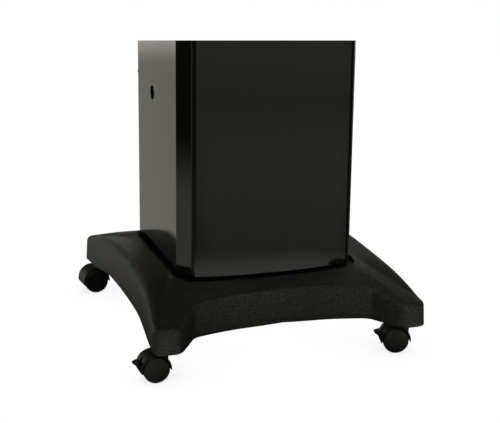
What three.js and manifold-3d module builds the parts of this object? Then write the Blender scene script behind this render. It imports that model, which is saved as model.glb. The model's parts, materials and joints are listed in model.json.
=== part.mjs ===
// A presentation lectern: a moulded base on four twin-wheel casters, a sheet-metal cabinet column with a
// bowed front cover and a hinged rear door, and a sloping desk on top.
// Millimetres, +Z up. The origin is on the floor under the middle of the base. The audience stands at -Y,
// the presenter at +Y, and +X is to the right as the audience sees it.
import * as THREE from 'three';
import { mergeVertices } from 'three/addons/utils/BufferGeometryUtils.js';
import Module from 'manifold-3d';

const { degToRad, lerp, smoothstep } = THREE.MathUtils;
const wasm = await Module();
wasm.setup();

// ---- Driving dimensions -------------------------------------------------------------------------------

const GAP = 0.3; // running and resting gap between neighbouring pieces
const OVERCUT = 1; // how far a cutting shape runs past the face it cuts

// Base moulding
const BASE_WALL = 5;
const BASE_RIM_Z = 150; // rim of the pocket that the column stands in
const POCKET_DEPTH = 9;
const POCKET_FLOOR = 7; // thickness of the moulding under the pocket
const FOOT_BOTTOM_Z = 62;
const ARCH_RISE = 13; // the lower edge is this much higher between the feet
const FOOT_TOP_Z = 111;
const FRONT_TOP_Z = 149; // the upper edge climbs from the feet towards these heights
const SIDE_TOP_Z = 152;
const FOOT_REACH = 20; // the climb starts this far from the tip of a foot
const CLIMB_LENGTH = 80; // the larger, the gentler the climb
const ARCH = [50, 180]; // the lower edge rises between these distances from the tip of a foot
const FOOT_TIP_X = 250; // where those distances are measured from
const FOOT_TIP_Y = 285;
const FOOT_SPREAD = 0.55; // how much a step along X counts against one along Y
const WALL_ROOT = 11; // the inside corner is this far behind the rounded edge
const POCKET_DRAFT = 3; // the pocket narrows by this much towards its floor
const EDGE_BREAK = 2;
const TOP_SWEEP = 0.85; // the top rises a little faster at first than in a straight line
const BASE_SIDE_X = 251; // half width at the waist of each side
const BASE_FOOT_X = 268;
const BASE_FRONT_Y = 231.5; // half depth at the middle of the front and back
const BASE_FOOT_Y = 301;
const FOOT_ROUND = 10;
const FRONT_ROUND = 9;
const SIDE_ROUND = 18;
const DRAFT = 2; // the outer wall leans in this much towards the top
const BASE_CURVE_STEPS = 4; // straight steps in each curve of the base outline

// Casters
const CASTER_X = 241;
const CASTER_Y = 253;
const WHEEL_RADIUS = 25;
const WHEEL_WIDTH = 17;
const WHEEL_INNER_Y = 5.5; // inner face of each wheel, from the caster's middle plane
const AXLE_TRAIL = 17.5; // the axle is this far behind the stem
const AXLE_RADIUS = 3;
const HOOD_OUTER = 29;
const HOOD_INNER = 26.8;
const HOOD_WIDTH = 44;
const HOOD_WEB = 10;
const HOOD_BOTTOM_Z = 7;
const HOOD_TOP_Z = 60;
const HOOD_OPENING = [190, 356]; // degrees round the axle, where the hood leaves the wheels free
const STEM_RADIUS = 5.5;
const STEM_BOTTOM_Z = 44;
const STEM_TOP_Z = 99;
const STEM_FLANGE_RADIUS = 9;
const STEM_FLANGE_DEPTH = 3;
const LEVER_PIVOT = [-21, 12]; // from the axle, in X and Z
const LEVER_THICKNESS = 5;
const LEVER_PIN_RADIUS = 2;

// Steel frame inside the base
const FRAME_BAR_WIDTH = 30;
const FRAME_BOTTOM_Z = 80;
const FRAME_TOP_Z = 100;
const COLLAR_RADIUS = 13; // round each caster's stem
const COLLAR_BOTTOM_Z = 66;
const POST_RADIUS = 11; // under each bolt
const BOLT_X = 120;
const BOLT_Y = 90;
const BOLT_RADIUS = 4;
const BOLT_BOTTOM_Z = 106;
const BOLT_HEAD_RADIUS = 7.5;
const BOLT_HEAD_DEPTH = 5.5;

// Column
const COLUMN_X = 177;
const COLUMN_FRONT_Y = -117.5; // front edge of the side panels
const COLUMN_REAR_Y = 167;
const COLUMN_TOP_Z = 998;
const SHEET = 2;
const COVER_NOSE_Y = -177; // middle of the bowed front
const COVER_CORNER = [157, -160]; // X and Y where the canted return meets the bow
const COVER_PROUD = 0.5; // the cover stands this far outside the side panels
const COVER_SHEET = 3;
const COVER_BOTTOM_Z = 156;
const PANEL_HOLE_RADIUS = 14;
const PANEL_HOLE_Y = 55;
const PANEL_HOLE_Z = 469;
const FLANGE_WIDTH = 22; // along the front edge of each side panel
const DOOR_BOTTOM_Z = 153; // clear of the pocket's rim, so that the door can swing over the base
const DOOR_DEPTH = 16;
const DOOR_GAP = 3.4;
const DOOR_STOP_Y = 146;
const DOOR_STOP_WIDTH = 20;
const SHELF_LIP = 15;
const ADJUSTABLE_SHELF_Z = 430;
const FIXED_SHELF_Z = 700;

// Rear door hinges and lock
const HINGE_X = -173;
const HINGE_Y = 171;
const HINGE_LENGTH = 133;
const HINGE_CENTRES_Z = { lower: 420.5, upper: 729.5 };
const KNUCKLE_RADIUS = 2.8;
const PIN_RADIUS = 1.6;
const PIN_HEAD_RADIUS = 3.7;
const LEAF_SHEET = 1;
const LOCK_X = 148;
const LOCK_Z = 575;
const LOCK_RADIUS = 9.5;
const PLUG_RADIUS = 6;
const CAM_LENGTH = 26;

// Desk
const DESK_HALF_WIDTH = 305;
const DESK_REAR_Y = 225;
const DESK_FRONT_Y = -245;
const DESK_BOW = 17; // the front edge bulges this far past its corners
const DESK_CORNER = 40;
const DESK_BOTTOM_Z = 1001.2;
const DESK_WALL = 4;
const CABLE_HOLE_RADIUS = 30; // from the cabinet up into the desk
const CABLE_HOLE_AT = [0, 60];
const DESK_TILT = degToRad(14);
const LECTERN_HEIGHT = 1172;
const BOARD_SIZE = [556, 384, 14];
const BOARD_RECESS = 12;
const GROMMET_RADIUS = 18;
const GROMMET_AT = [200, -220]; // from the middle of the board, across and down the slope
const STOP_HEIGHT = 20;
const STOP_DEPTH = 10;
const STOP_LENGTH = 520;

// ---- Materials ----------------------------------------------------------------------------------------

function finish(color, roughness, metalness = 0) {
  return new THREE.MeshStandardMaterial({ color, roughness, metalness });
}

const texturedPlastic = finish(0x232321, 0.55);
const casterPlastic = finish(0x191919, 0.4);
const blackPaint = finish(0x1b1b1a, 0.3);
const zincSteel = finish(0x9c9da0, 0.35, 0.9);
const woodBoard = finish(0x3a2a20, 0.45);
const rubber = finish(0x111111, 0.8);

// ---- Geometry helpers ---------------------------------------------------------------------------------

function toSolid(geometry) {
  const bare = geometry.clone();
  bare.deleteAttribute('normal');
  bare.deleteAttribute('uv');
  const merged = mergeVertices(bare, 1e-4);
  const vertProperties = new Float32Array(merged.attributes.position.array);
  const triVerts = new Uint32Array(merged.index.array);
  return new wasm.Manifold(new wasm.Mesh({ numProp: 3, vertProperties, triVerts }));
}

function toGeometry(solid) {
  const mesh = solid.getMesh();
  const geometry = new THREE.BufferGeometry();
  geometry.setAttribute('position', new THREE.BufferAttribute(mesh.vertProperties, 3));
  geometry.setIndex(new THREE.BufferAttribute(mesh.triVerts, 1));
  geometry.computeVertexNormals();
  return geometry;
}

function join(...geometries) {
  return toGeometry(geometries.map(toSolid).reduce((a, b) => a.add(b)));
}

function cut(geometry, ...tools) {
  return toGeometry(tools.map(toSolid).reduce((a, b) => a.subtract(b), toSolid(geometry)));
}

// A box from its lowest to its highest corner.
function box(low, high) {
  const [dx, dy, dz] = high.map((v, i) => v - low[i]);
  const geometry = new THREE.BoxGeometry(dx, dy, dz);
  return geometry.translate((low[0] + high[0]) / 2, (low[1] + high[1]) / 2, (low[2] + high[2]) / 2);
}

// How many flat faces stand for a cylinder: more on a bigger one.
const facesAround = (radius) => 10 + 2 * Math.round(radius / 3);

// A cylinder along X, Y or Z, from one end to the other, centred on a point of the plane across it.
function rod(axis, radius, from, to, centre, segments = facesAround(radius)) {
  const geometry = new THREE.CylinderGeometry(radius, radius, to - from, segments);
  const middle = (from + to) / 2;
  if (axis === 'X') return geometry.rotateZ(-Math.PI / 2).translate(middle, centre[0], centre[1]);
  if (axis === 'Y') return geometry.translate(centre[0], middle, centre[1]);
  return geometry.rotateX(Math.PI / 2).translate(centre[0], centre[1], middle);
}

// An outline in the XY plane, raised from one height to another.
function prism(shape, fromZ, toZ, curveSegments = 12) {
  const options = { depth: toZ - fromZ, bevelEnabled: false, curveSegments };
  return new THREE.ExtrudeGeometry(shape, options).translate(0, 0, fromZ);
}

// An outline in the XZ plane, given depth from one Y to another.
function slab(shape, fromY, toY, curveSegments = 12) {
  const options = { depth: toY - fromY, bevelEnabled: false, curveSegments };
  return new THREE.ExtrudeGeometry(shape, options).rotateX(Math.PI / 2).translate(0, toY, 0);
}

const shapeOf = (points) => new THREE.Shape(points.map(([x, y]) => new THREE.Vector2(x, y)));

const lectern = new THREE.Group();

function addPart(name, geometry, material, parent = lectern) {
  const mesh = new THREE.Mesh(geometry, material);
  mesh.name = name;
  parent.add(mesh);
  return mesh;
}

// ---- Base moulding ------------------------------------------------------------------------------------

// A quarter of the outline, from the waist of the right side to the middle of the front. The side is a long
// shallow hollow, the foot has two rounded corners, and its flank runs back to a crease where the bowed
// front begins. Both quarters below are made of the same pieces, so their points pair up.
function outerQuarter() {
  const path = new THREE.Path();
  path.moveTo(BASE_SIDE_X, 0);
  path.quadraticCurveTo(BASE_SIDE_X, 68, BASE_SIDE_X + 4, 136);
  path.quadraticCurveTo(BASE_SIDE_X + 8, 204, BASE_FOOT_X, BASE_FOOT_Y - 29);
  path.quadraticCurveTo(BASE_FOOT_X + 2, BASE_FOOT_Y, BASE_FOOT_X - 24, BASE_FOOT_Y);
  path.lineTo(232, BASE_FOOT_Y);
  path.quadraticCurveTo(219, BASE_FOOT_Y, 210, 288);
  path.lineTo(181, 243);
  path.quadraticCurveTo(175, 233, 160, BASE_FRONT_Y - 0.5);
  path.quadraticCurveTo(115, 223.5, 70, 227.5);
  path.quadraticCurveTo(25, BASE_FRONT_Y, 0, BASE_FRONT_Y);
  return path.getPoints(BASE_CURVE_STEPS);
}

// The pocket rim under the same quarter, following the canted corner of the column's front.
function frontRimQuarter() {
  const path = new THREE.Path();
  path.moveTo(187, 0);
  path.quadraticCurveTo(187, 26, 187, 53);
  path.quadraticCurveTo(187, 80, 187, 106);
  path.quadraticCurveTo(188, 124, 182, 141);
  path.lineTo(179, 148);
  path.quadraticCurveTo(175, 156, 170, 161);
  path.lineTo(165, 165);
  path.quadraticCurveTo(157, 170, 145, 171);
  path.quadraticCurveTo(109, 176.5, 73, 179);
  path.quadraticCurveTo(37, 182, 0, 182);
  return path.getPoints(BASE_CURVE_STEPS);
}

function rearRimQuarter() {
  const path = new THREE.Path();
  path.moveTo(187, 0);
  path.quadraticCurveTo(187, 32, 187, 65);
  path.quadraticCurveTo(187, 98, 187, 130);
  path.quadraticCurveTo(187, 153, 185, 163);
  path.lineTo(183, 168);
  path.quadraticCurveTo(180, 173, 174, 175);
  path.lineTo(167, 176);
  path.quadraticCurveTo(159, 176, 149, 176);
  path.quadraticCurveTo(112, 176, 75, 176);
  path.quadraticCurveTo(37, 176, 0, 176);
  return path.getPoints(BASE_CURVE_STEPS);
}

// Four quarters make a ring, counter-clockwise seen from above, starting at +X.
function ringOf(frontQuarter, rearQuarter) {
  const flip = (points, sx, sy) => points.map((p) => new THREE.Vector2(sx * p.x, sy * p.y));
  const runs = [
    flip(rearQuarter, 1, 1),
    flip(rearQuarter, -1, 1).reverse(),
    flip(frontQuarter, -1, -1),
    flip(frontQuarter, 1, -1).reverse(),
  ];
  return runs.flatMap((run) => run.slice(0, -1));
}

// Unit normals of a ring, pointing out.
function ringNormals(ring) {
  return ring.map((_, i) => {
    const before = ring[(i + ring.length - 1) % ring.length];
    const after = ring[(i + 1) % ring.length];
    return new THREE.Vector2(after.y - before.y, before.x - after.x).normalize();
  });
}

// A closed solid through a list of rings, each joined to the next, with the two ends closed by fans.
function loft(rings, startCentre, endCentre) {
  const count = rings[0].length;
  const positions = rings.flat().flatMap((p) => [p.x, p.y, p.z]);
  positions.push(...startCentre.toArray(), ...endCentre.toArray());
  const start = rings.length * count;
  const last = (rings.length - 1) * count;
  const index = [];
  for (let i = 0; i < count; i += 1) {
    const next = (i + 1) % count;
    index.push(start, next, i);
    for (let row = 0; row < last; row += count) {
      index.push(row + i, row + next, row + count + next);
      index.push(row + i, row + count + next, row + count + i);
    }
    index.push(start + 1, last + i, last + next);
  }
  const geometry = new THREE.BufferGeometry();
  geometry.setAttribute('position', new THREE.Float32BufferAttribute(positions, 3));
  geometry.setIndex(index);
  return geometry;
}

// How far a point of the outline is from the tip of its foot.
function fromFoot(point) {
  return Math.hypot(FOOT_SPREAD * (FOOT_TIP_X - Math.abs(point.x)), FOOT_TIP_Y - Math.abs(point.y));
}

function baseMoulding() {
  const outer = ringOf(outerQuarter(), outerQuarter());
  const rim = ringOf(frontRimQuarter(), rearRimQuarter());
  const normals = ringNormals(outer);
  const rimNormals = ringNormals(rim);
  const climb = outer.map((p) => 1 - Math.exp(-Math.max(fromFoot(p) - FOOT_REACH, 0) / CLIMB_LENGTH));
  const sideways = normals.map((n) => n.x ** 2);
  const bottomZ = outer.map((p) => FOOT_BOTTOM_Z + ARCH_RISE * smoothstep(fromFoot(p), ...ARCH));
  const topZ = climb.map((t, i) => {
    const heightBetween = lerp(FRONT_TOP_Z, SIDE_TOP_Z, sideways[i]);
    return lerp(FOOT_TOP_Z, heightBetween, t);
  });
  const round = climb.map((t, i) => {
    const roundBetween = lerp(FRONT_ROUND, SIDE_ROUND, sideways[i]);
    return lerp(FOOT_ROUND, roundBetween, t);
  });
  const at = (p, normal, inset, z) => new THREE.Vector3(p.x - inset * normal.x, p.y - inset * normal.y, z);
  const outerRing = (inset, z) => outer.map((p, i) => at(p, normals[i], inset(i), z(i)));
  const rimRing = (inset, z) => rim.map((p, i) => at(p, rimNormals[i], inset, z));

  // The upper surface rises from the rounded edge to the rim.
  const shoulder = outerRing((i) => round[i] + DRAFT, (i) => topZ[i]);
  const topRing = (t) =>
    shoulder.map((p, i) => {
      const z = lerp(p.z, BASE_RIM_Z, t ** TOP_SWEEP);
      return new THREE.Vector3(lerp(p.x, rim[i].x, t), lerp(p.y, rim[i].y, t), z);
    });
  // Points of the inside, a set distance from the outside towards the rim.
  const inside = (distance, z) =>
    outer.map((p, i) => {
      const towardsRim = rim[i].clone().sub(p).setLength(distance(i));
      return new THREE.Vector3(p.x + towardsRim.x, p.y + towardsRim.y, z(i));
    });
  const roundRing = (angle) => {
    const inset = (i) => DRAFT + round[i] * (1 - Math.cos(angle));
    return outerRing(inset, (i) => topZ[i] - round[i] * (1 - Math.sin(angle)));
  };

  const floorZ = BASE_RIM_Z - POCKET_DEPTH;
  const ceilingZ = floorZ - POCKET_FLOOR;
  const rings = [
    rimRing(0, ceilingZ),
    inside((i) => round[i] + WALL_ROOT, (i) => Math.min(topZ[i] - POCKET_FLOOR, ceilingZ)),
    outerRing(() => BASE_WALL + 1, (i) => topZ[i] - round[i] - BASE_WALL),
    outerRing(() => BASE_WALL, (i) => bottomZ[i]),
    outerRing(() => EDGE_BREAK - 0.5, (i) => bottomZ[i]),
    outerRing(() => 0, (i) => bottomZ[i] + EDGE_BREAK),
    roundRing(0),
    roundRing(Math.PI / 6),
    roundRing(Math.PI / 3),
    shoulder,
    topRing(1 / 3),
    topRing(2 / 3),
    topRing(1),
    rimRing(EDGE_BREAK, BASE_RIM_Z - EDGE_BREAK),
    rimRing(POCKET_DRAFT, floorZ),
  ];
  const shell = loft(rings, new THREE.Vector3(0, 0, ceilingZ), new THREE.Vector3(0, 0, floorZ));
  const holes = boltPlaces().map((place) =>
    rod('Z', BOLT_RADIUS + GAP, ceilingZ - OVERCUT, floorZ + OVERCUT, place),
  );
  return cut(shell, ...holes);
}

// ---- Frame and bolts ----------------------------------------------------------------------------------

function corners(x, y) {
  return [[-x, -y], [x, -y], [-x, y], [x, y]];
}

const boltPlaces = () => corners(BOLT_X, BOLT_Y);

function baseFrame() {
  const diagonal = Math.hypot(CASTER_X, CASTER_Y);
  const bar = box(
    [-diagonal, -FRAME_BAR_WIDTH / 2, FRAME_BOTTOM_Z],
    [diagonal, FRAME_BAR_WIDTH / 2, FRAME_TOP_Z],
  );
  const angle = Math.atan2(CASTER_Y, CASTER_X);
  const collars = corners(CASTER_X, CASTER_Y).map((at) =>
    rod('Z', COLLAR_RADIUS, COLLAR_BOTTOM_Z, FRAME_TOP_Z, at),
  );
  const postTop = BASE_RIM_Z - POCKET_DEPTH - POCKET_FLOOR - GAP;
  const posts = boltPlaces().map((at) => rod('Z', POST_RADIUS, FRAME_BOTTOM_Z, postTop, at));
  const joined = join(bar.clone().rotateZ(angle), bar.clone().rotateZ(-angle), ...collars, ...posts);
  const stemHoles = corners(CASTER_X, CASTER_Y).map((at) =>
    rod('Z', STEM_RADIUS + GAP, COLLAR_BOTTOM_Z - OVERCUT, FRAME_TOP_Z + OVERCUT, at),
  );
  const boltHoles = boltPlaces().map((at) =>
    rod('Z', BOLT_RADIUS + GAP, BOLT_BOTTOM_Z - OVERCUT, postTop + OVERCUT, at),
  );
  return cut(joined, ...stemHoles, ...boltHoles);
}

function columnBolt(at) {
  const seat = BASE_RIM_Z - POCKET_DEPTH + GAP + SHEET + GAP;
  const shank = rod('Z', BOLT_RADIUS, BOLT_BOTTOM_Z, seat + OVERCUT, at);
  const head = rod('Z', BOLT_HEAD_RADIUS, seat, seat + BOLT_HEAD_DEPTH, at, 6);
  return join(shank, head);
}

function addBase() {
  addPart('base_moulding', baseMoulding(), texturedPlastic);
  addPart('base_frame', baseFrame(), zincSteel);
  const names = ['front_left', 'front_right', 'rear_left', 'rear_right'];
  boltPlaces().forEach((at, i) => addPart(`column_bolt_${names[i]}`, columnBolt(at), zincSteel));
}

// ---- Casters ------------------------------------------------------------------------------------------

const AXLE_AT = [-AXLE_TRAIL, WHEEL_RADIUS]; // X and Z of the axle, from the stem's axis on the floor

function casterStem() {
  const flangeZ = HOOD_TOP_Z + GAP;
  const profile = [
    [0, STEM_BOTTOM_Z],
    [STEM_RADIUS, STEM_BOTTOM_Z],
    [STEM_RADIUS, flangeZ],
    [STEM_FLANGE_RADIUS, flangeZ],
    [STEM_FLANGE_RADIUS, flangeZ + STEM_FLANGE_DEPTH],
    [STEM_RADIUS, flangeZ + STEM_FLANGE_DEPTH],
    [STEM_RADIUS, STEM_TOP_Z - 2],
    [STEM_RADIUS - 2, STEM_TOP_Z],
    [0, STEM_TOP_Z],
  ].map(([r, z]) => new THREE.Vector2(r, z));
  return new THREE.LatheGeometry(profile, facesAround(STEM_RADIUS)).rotateX(Math.PI / 2);
}

// The wheel's profile runs from the middle of its domed outer face to the bottom of its blind bore. The
// lathe turns it about Y, with the outer face towards +Y.
function casterWheel(side) {
  const half = WHEEL_WIDTH / 2;
  const profile = [
    [0, -half + 13],
    [AXLE_RADIUS + GAP, -half + 13],
    [AXLE_RADIUS + GAP, -half],
    [WHEEL_RADIUS - 1.5, -half],
    [WHEEL_RADIUS, -half + 1.5],
    [WHEEL_RADIUS, half - 3],
    [WHEEL_RADIUS - 1, half - 1.2],
    [WHEEL_RADIUS - 3, half - 0.4],
    [0, half + 0.4],
  ].map(([r, y]) => new THREE.Vector2(r, y));
  const wheel = new THREE.LatheGeometry(profile, facesAround(WHEEL_RADIUS));
  if (side < 0) wheel.rotateX(Math.PI);
  return wheel.translate(AXLE_AT[0], side * (WHEEL_INNER_Y + half), AXLE_AT[1]);
}

// The part of a disc round the axle that lies between two angles, as an outline in XZ.
function sector(radius, fromDegrees, toDegrees) {
  const [from, to] = [fromDegrees, toDegrees].map(degToRad);
  const shape = new THREE.Shape();
  shape.moveTo(AXLE_AT[0], AXLE_AT[1]);
  shape.lineTo(AXLE_AT[0] + radius * Math.cos(from), AXLE_AT[1] + radius * Math.sin(from));
  shape.absarc(AXLE_AT[0], AXLE_AT[1], radius, from, to, false);
  return shape;
}

// The hood: a fender over both wheels, a web between them that holds the axle, and a boss for the stem.
function casterHood(hasBrake) {
  const drum = rod('Y', HOOD_OUTER, -HOOD_WIDTH / 2, HOOD_WIDTH / 2, AXLE_AT);
  const boss = rod('Z', 10, WHEEL_RADIUS + 8, HOOD_TOP_Z, [0, 0]);
  const web = HOOD_WEB / 2;
  const past = HOOD_WIDTH / 2 + OVERCUT;
  const tools = [
    rod('Y', HOOD_INNER, web, past, AXLE_AT),
    rod('Y', HOOD_INNER, -past, -web, AXLE_AT),
    slab(sector(2 * HOOD_OUTER, ...HOOD_OPENING), web, past, 8),
    slab(sector(2 * HOOD_OUTER, ...HOOD_OPENING), -past, -web, 8),
    box([-2 * HOOD_OUTER, -past, -HOOD_OUTER], [HOOD_OUTER, past, HOOD_BOTTOM_Z]),
    rod('Y', AXLE_RADIUS + GAP, -past, past, AXLE_AT),
    rod('Z', STEM_RADIUS + GAP, STEM_BOTTOM_Z - OVERCUT, HOOD_TOP_Z + OVERCUT, [0, 0]),
  ];
  if (hasBrake) {
    const slot = LEVER_THICKNESS / 2 + GAP;
    const [x, z] = leverPivot();
    tools.push(box([-80, -slot, z - 10], [x + 6, slot, z + 9]));
    tools.push(rod('Y', LEVER_PIN_RADIUS + GAP, -past, past, leverPivot()));
  }
  return cut(join(drum, boss), ...tools);
}

const leverPivot = () => [AXLE_AT[0] + LEVER_PIVOT[0], AXLE_AT[1] + LEVER_PIVOT[1]];

// The brake lever, drawn round its pivot: a hub on a short cross pin, an arm through the slot of the hood,
// and a wedge-shaped pad.
function brakeLever() {
  const half = LEVER_THICKNESS / 2;
  const pinHalf = HOOD_WEB / 2 - GAP;
  const armOutline = shapeOf([[0, -3], [-13, -3], [-13, 3.5], [0, 3]]);
  const padOutline = shapeOf([[-11.5, -6.5], [-19, -0.6], [-19.6, 0.8], [-9.5, 4.6]]);
  return join(
    rod('Y', LEVER_PIN_RADIUS + 1.4, -half, half, [0, 0]),
    rod('Y', LEVER_PIN_RADIUS, -pinHalf, pinHalf, [0, 0]),
    slab(armOutline, -half, half),
    slab(padOutline, -7, 7),
  );
}

// A caster turned on its stem by some degrees, with or without a brake lever.
function addCaster(place, x, y, swivel, hasBrake) {
  const caster = new THREE.Group();
  caster.position.set(x, y, 0);
  caster.rotation.z = degToRad(swivel);
  lectern.add(caster);
  addPart(`caster_stem_${place}`, casterStem(), zincSteel, caster);
  addPart(`caster_hood_${place}`, casterHood(hasBrake), casterPlastic, caster);
  const axleHalf = WHEEL_INNER_Y + 12;
  addPart(`caster_axle_${place}`, rod('Y', AXLE_RADIUS, -axleHalf, axleHalf, AXLE_AT), zincSteel, caster);
  addPart(`caster_wheel_${place}_outer`, casterWheel(Math.sign(y)), casterPlastic, caster);
  addPart(`caster_wheel_${place}_inner`, casterWheel(-Math.sign(y)), casterPlastic, caster);
  if (!hasBrake) return;
  const [pivotX, pivotZ] = leverPivot();
  addPart(`brake_lever_${place}`, brakeLever().translate(pivotX, 0, pivotZ), casterPlastic, caster);
}

// ---- Column -------------------------------------------------------------------------------------------

const PANEL_BOTTOM_Z = BASE_RIM_Z - POCKET_DEPTH + 1;
const INNER_X = COLUMN_X - SHEET; // inner face of each side panel

// A side panel with a flange along its front edge and a door stop near its rear edge. Left is -1, right is 1.
function sidePanel(side) {
  const span = (x1, x2, y1, y2) => box(
    [Math.min(side * x1, side * x2), y1, PANEL_BOTTOM_Z],
    [Math.max(side * x1, side * x2), y2, COLUMN_TOP_Z],
  );
  const panel = join(
    span(INNER_X, COLUMN_X, COLUMN_FRONT_Y, COLUMN_REAR_Y),
    span(INNER_X - FLANGE_WIDTH, COLUMN_X - SHEET / 2, COLUMN_FRONT_Y, COLUMN_FRONT_Y + SHEET),
    span(INNER_X - DOOR_STOP_WIDTH, COLUMN_X - SHEET / 2, DOOR_STOP_Y, DOOR_STOP_Y + SHEET),
  );
  if (side > 0) return panel;
  const holeAt = [PANEL_HOLE_Y, PANEL_HOLE_Z];
  return cut(panel, rod('X', PANEL_HOLE_RADIUS, -COLUMN_X - OVERCUT, -INNER_X + OVERCUT, holeAt, 32));
}

// The plan of the front cover: a shallow bow, a small round at each corner and canted returns.
function frontCover() {
  const edgeX = COLUMN_X + COVER_PROUD;
  const edgeY = COLUMN_FRONT_Y - 1;
  const [cornerX, cornerY] = COVER_CORNER;
  const bow = (inset) => {
    const noseY = COVER_NOSE_Y + inset;
    const shoulderY = cornerY - 1.8 + inset;
    return { noseY, shoulderY, controlY: 2 * noseY - shoulderY };
  };
  const outside = bow(0);
  const inside = bow(COVER_SHEET);
  const cant = COVER_SHEET * 1.12; // the sheet measured along X across the canted return
  const shape = new THREE.Shape();
  shape.moveTo(-edgeX, edgeY);
  shape.lineTo(-cornerX - 2.8, cornerY + 6.2);
  shape.quadraticCurveTo(-cornerX, cornerY - 1, -cornerX + 7, outside.shoulderY);
  shape.quadraticCurveTo(0, outside.controlY, cornerX - 7, outside.shoulderY);
  shape.quadraticCurveTo(cornerX, cornerY - 1, cornerX + 2.8, cornerY + 6.2);
  shape.lineTo(edgeX, edgeY);
  shape.lineTo(edgeX - cant, edgeY);
  shape.lineTo(cornerX - 1.2, cornerY + 5);
  shape.lineTo(cornerX - 5, inside.shoulderY);
  shape.quadraticCurveTo(0, inside.controlY, -cornerX + 5, inside.shoulderY);
  shape.lineTo(-cornerX + 1.2, cornerY + 5);
  shape.lineTo(-edgeX + cant, edgeY);
  return prism(shape, COVER_BOTTOM_Z, COLUMN_TOP_Z, 20);
}

// A sheet shelf with turned-down lips along its front and back edges.
function shelf(topZ) {
  const x = INNER_X - GAP;
  const frontY = COLUMN_FRONT_Y + 2 * SHEET + 3 * GAP;
  const rearY = DOOR_STOP_Y - 4;
  const lipZ = topZ - SHELF_LIP;
  return join(
    box([-x, frontY, topZ - SHEET], [x, rearY, topZ]),
    box([-x, frontY, lipZ], [x, frontY + SHEET, topZ - SHEET / 2]),
    box([-x, rearY - SHEET, lipZ], [x, rearY, topZ - SHEET / 2]),
  );
}

// A clip that the adjustable shelf rests on: a foot against the side panel and a tongue under the shelf.
function shelfClip(side, y) {
  const near = side * (INNER_X - GAP);
  const far = side * (INNER_X - GAP - 11);
  const topZ = ADJUSTABLE_SHELF_Z - SHEET - GAP;
  const plate = side * (INNER_X - GAP - 2.5);
  const span = (a, b, z1, z2) => box([Math.min(a, b), y - 7, z1], [Math.max(a, b), y + 7, z2]);
  return join(span(near, plate, topZ - 14, topZ), span(near, far, topZ - 3, topZ));
}

function deskBracket(side) {
  const span = (x1, x2, z1, z2) => box(
    [Math.min(side * x1, side * x2), -100, z1],
    [Math.max(side * x1, side * x2), 115, z2],
  );
  const outer = INNER_X - GAP;
  const topZ = COLUMN_TOP_Z - GAP;
  return join(span(outer - 3, outer, topZ - 40, topZ), span(outer - 40, outer, topZ - 3, topZ));
}

function addColumn() {
  addPart('side_panel_left', sidePanel(-1), blackPaint);
  addPart('side_panel_right', sidePanel(1), blackPaint);
  addPart('front_cover', frontCover(), blackPaint);

  const x = INNER_X - GAP;
  const innerFrontY = COLUMN_FRONT_Y + SHEET + GAP;
  const innerPanel = box([-x, innerFrontY, PANEL_BOTTOM_Z], [x, innerFrontY + SHEET, COLUMN_TOP_Z]);
  addPart('front_inner_panel', innerPanel, blackPaint);

  const floorZ = BASE_RIM_Z - POCKET_DEPTH + GAP;
  const floorPlate = box([-x, innerFrontY + SHEET + GAP, floorZ], [x, DOOR_STOP_Y - GAP, floorZ + SHEET]);
  const floorHoles = boltPlaces().map((at) =>
    rod('Z', BOLT_RADIUS + GAP, floorZ - OVERCUT, floorZ + SHEET + OVERCUT, at),
  );
  addPart('cabinet_floor', cut(floorPlate, ...floorHoles), blackPaint);

  const topPlate = box(
    [-COLUMN_X, COLUMN_FRONT_Y, COLUMN_TOP_Z + GAP],
    [COLUMN_X, COLUMN_REAR_Y, DESK_BOTTOM_Z - GAP],
  );
  const cableHole = rod('Z', CABLE_HOLE_RADIUS, COLUMN_TOP_Z, DESK_BOTTOM_Z, CABLE_HOLE_AT);
  addPart('cabinet_top', cut(topPlate, cableHole), blackPaint);

  addPart('fixed_shelf', shelf(FIXED_SHELF_Z), blackPaint);
  addPart('adjustable_shelf', shelf(ADJUSTABLE_SHELF_Z), blackPaint);
  for (const [sideName, side] of [['left', -1], ['right', 1]]) {
    addPart(`shelf_clip_front_${sideName}`, shelfClip(side, -85), zincSteel);
    addPart(`shelf_clip_rear_${sideName}`, shelfClip(side, 95), zincSteel);
    addPart(`desk_bracket_${sideName}`, deskBracket(side), zincSteel);
  }
}

// ---- Rear door ----------------------------------------------------------------------------------------

// A pan: the rear skin with a return on every edge, hollow towards the cabinet, with a hole for the lock.
function rearDoor() {
  const x = INNER_X - DOOR_GAP;
  const low = DOOR_BOTTOM_Z;
  const high = COLUMN_TOP_Z - 3;
  const frontY = COLUMN_REAR_Y - DOOR_DEPTH;
  const outer = box([-x, frontY, low], [x, COLUMN_REAR_Y, high]);
  const hollow = box(
    [-x + SHEET, frontY - OVERCUT, low + SHEET],
    [x - SHEET, COLUMN_REAR_Y - SHEET, high - SHEET],
  );
  const lockHole = rod('Y', LOCK_RADIUS + GAP, frontY, COLUMN_REAR_Y + OVERCUT, [LOCK_X, LOCK_Z]);
  return cut(outer, hollow, lockHole);
}

// Half a hinge: a leaf on one side of the gap and its knuckles, which alternate with the other half's.
function hingeLeaf(leafX, centreZ, knuckles) {
  const half = HINGE_LENGTH / 2;
  const leaf = box(
    [leafX, COLUMN_REAR_Y - DOOR_DEPTH + 2, centreZ - half],
    [leafX + LEAF_SHEET, COLUMN_REAR_Y - GAP / 2, centreZ + half],
  );
  const pieces = knuckles.flatMap(([from, to]) => [
    rod('Z', KNUCKLE_RADIUS, centreZ + from, centreZ + to, [HINGE_X, HINGE_Y]),
    box([leafX, COLUMN_REAR_Y - 2, centreZ + from], [leafX + LEAF_SHEET, HINGE_Y, centreZ + to]),
  ]);
  const bore = rod('Z', PIN_RADIUS + GAP, centreZ - half - 1, centreZ + half + 1, [HINGE_X, HINGE_Y]);
  return cut(join(leaf, ...pieces), bore);
}

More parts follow.
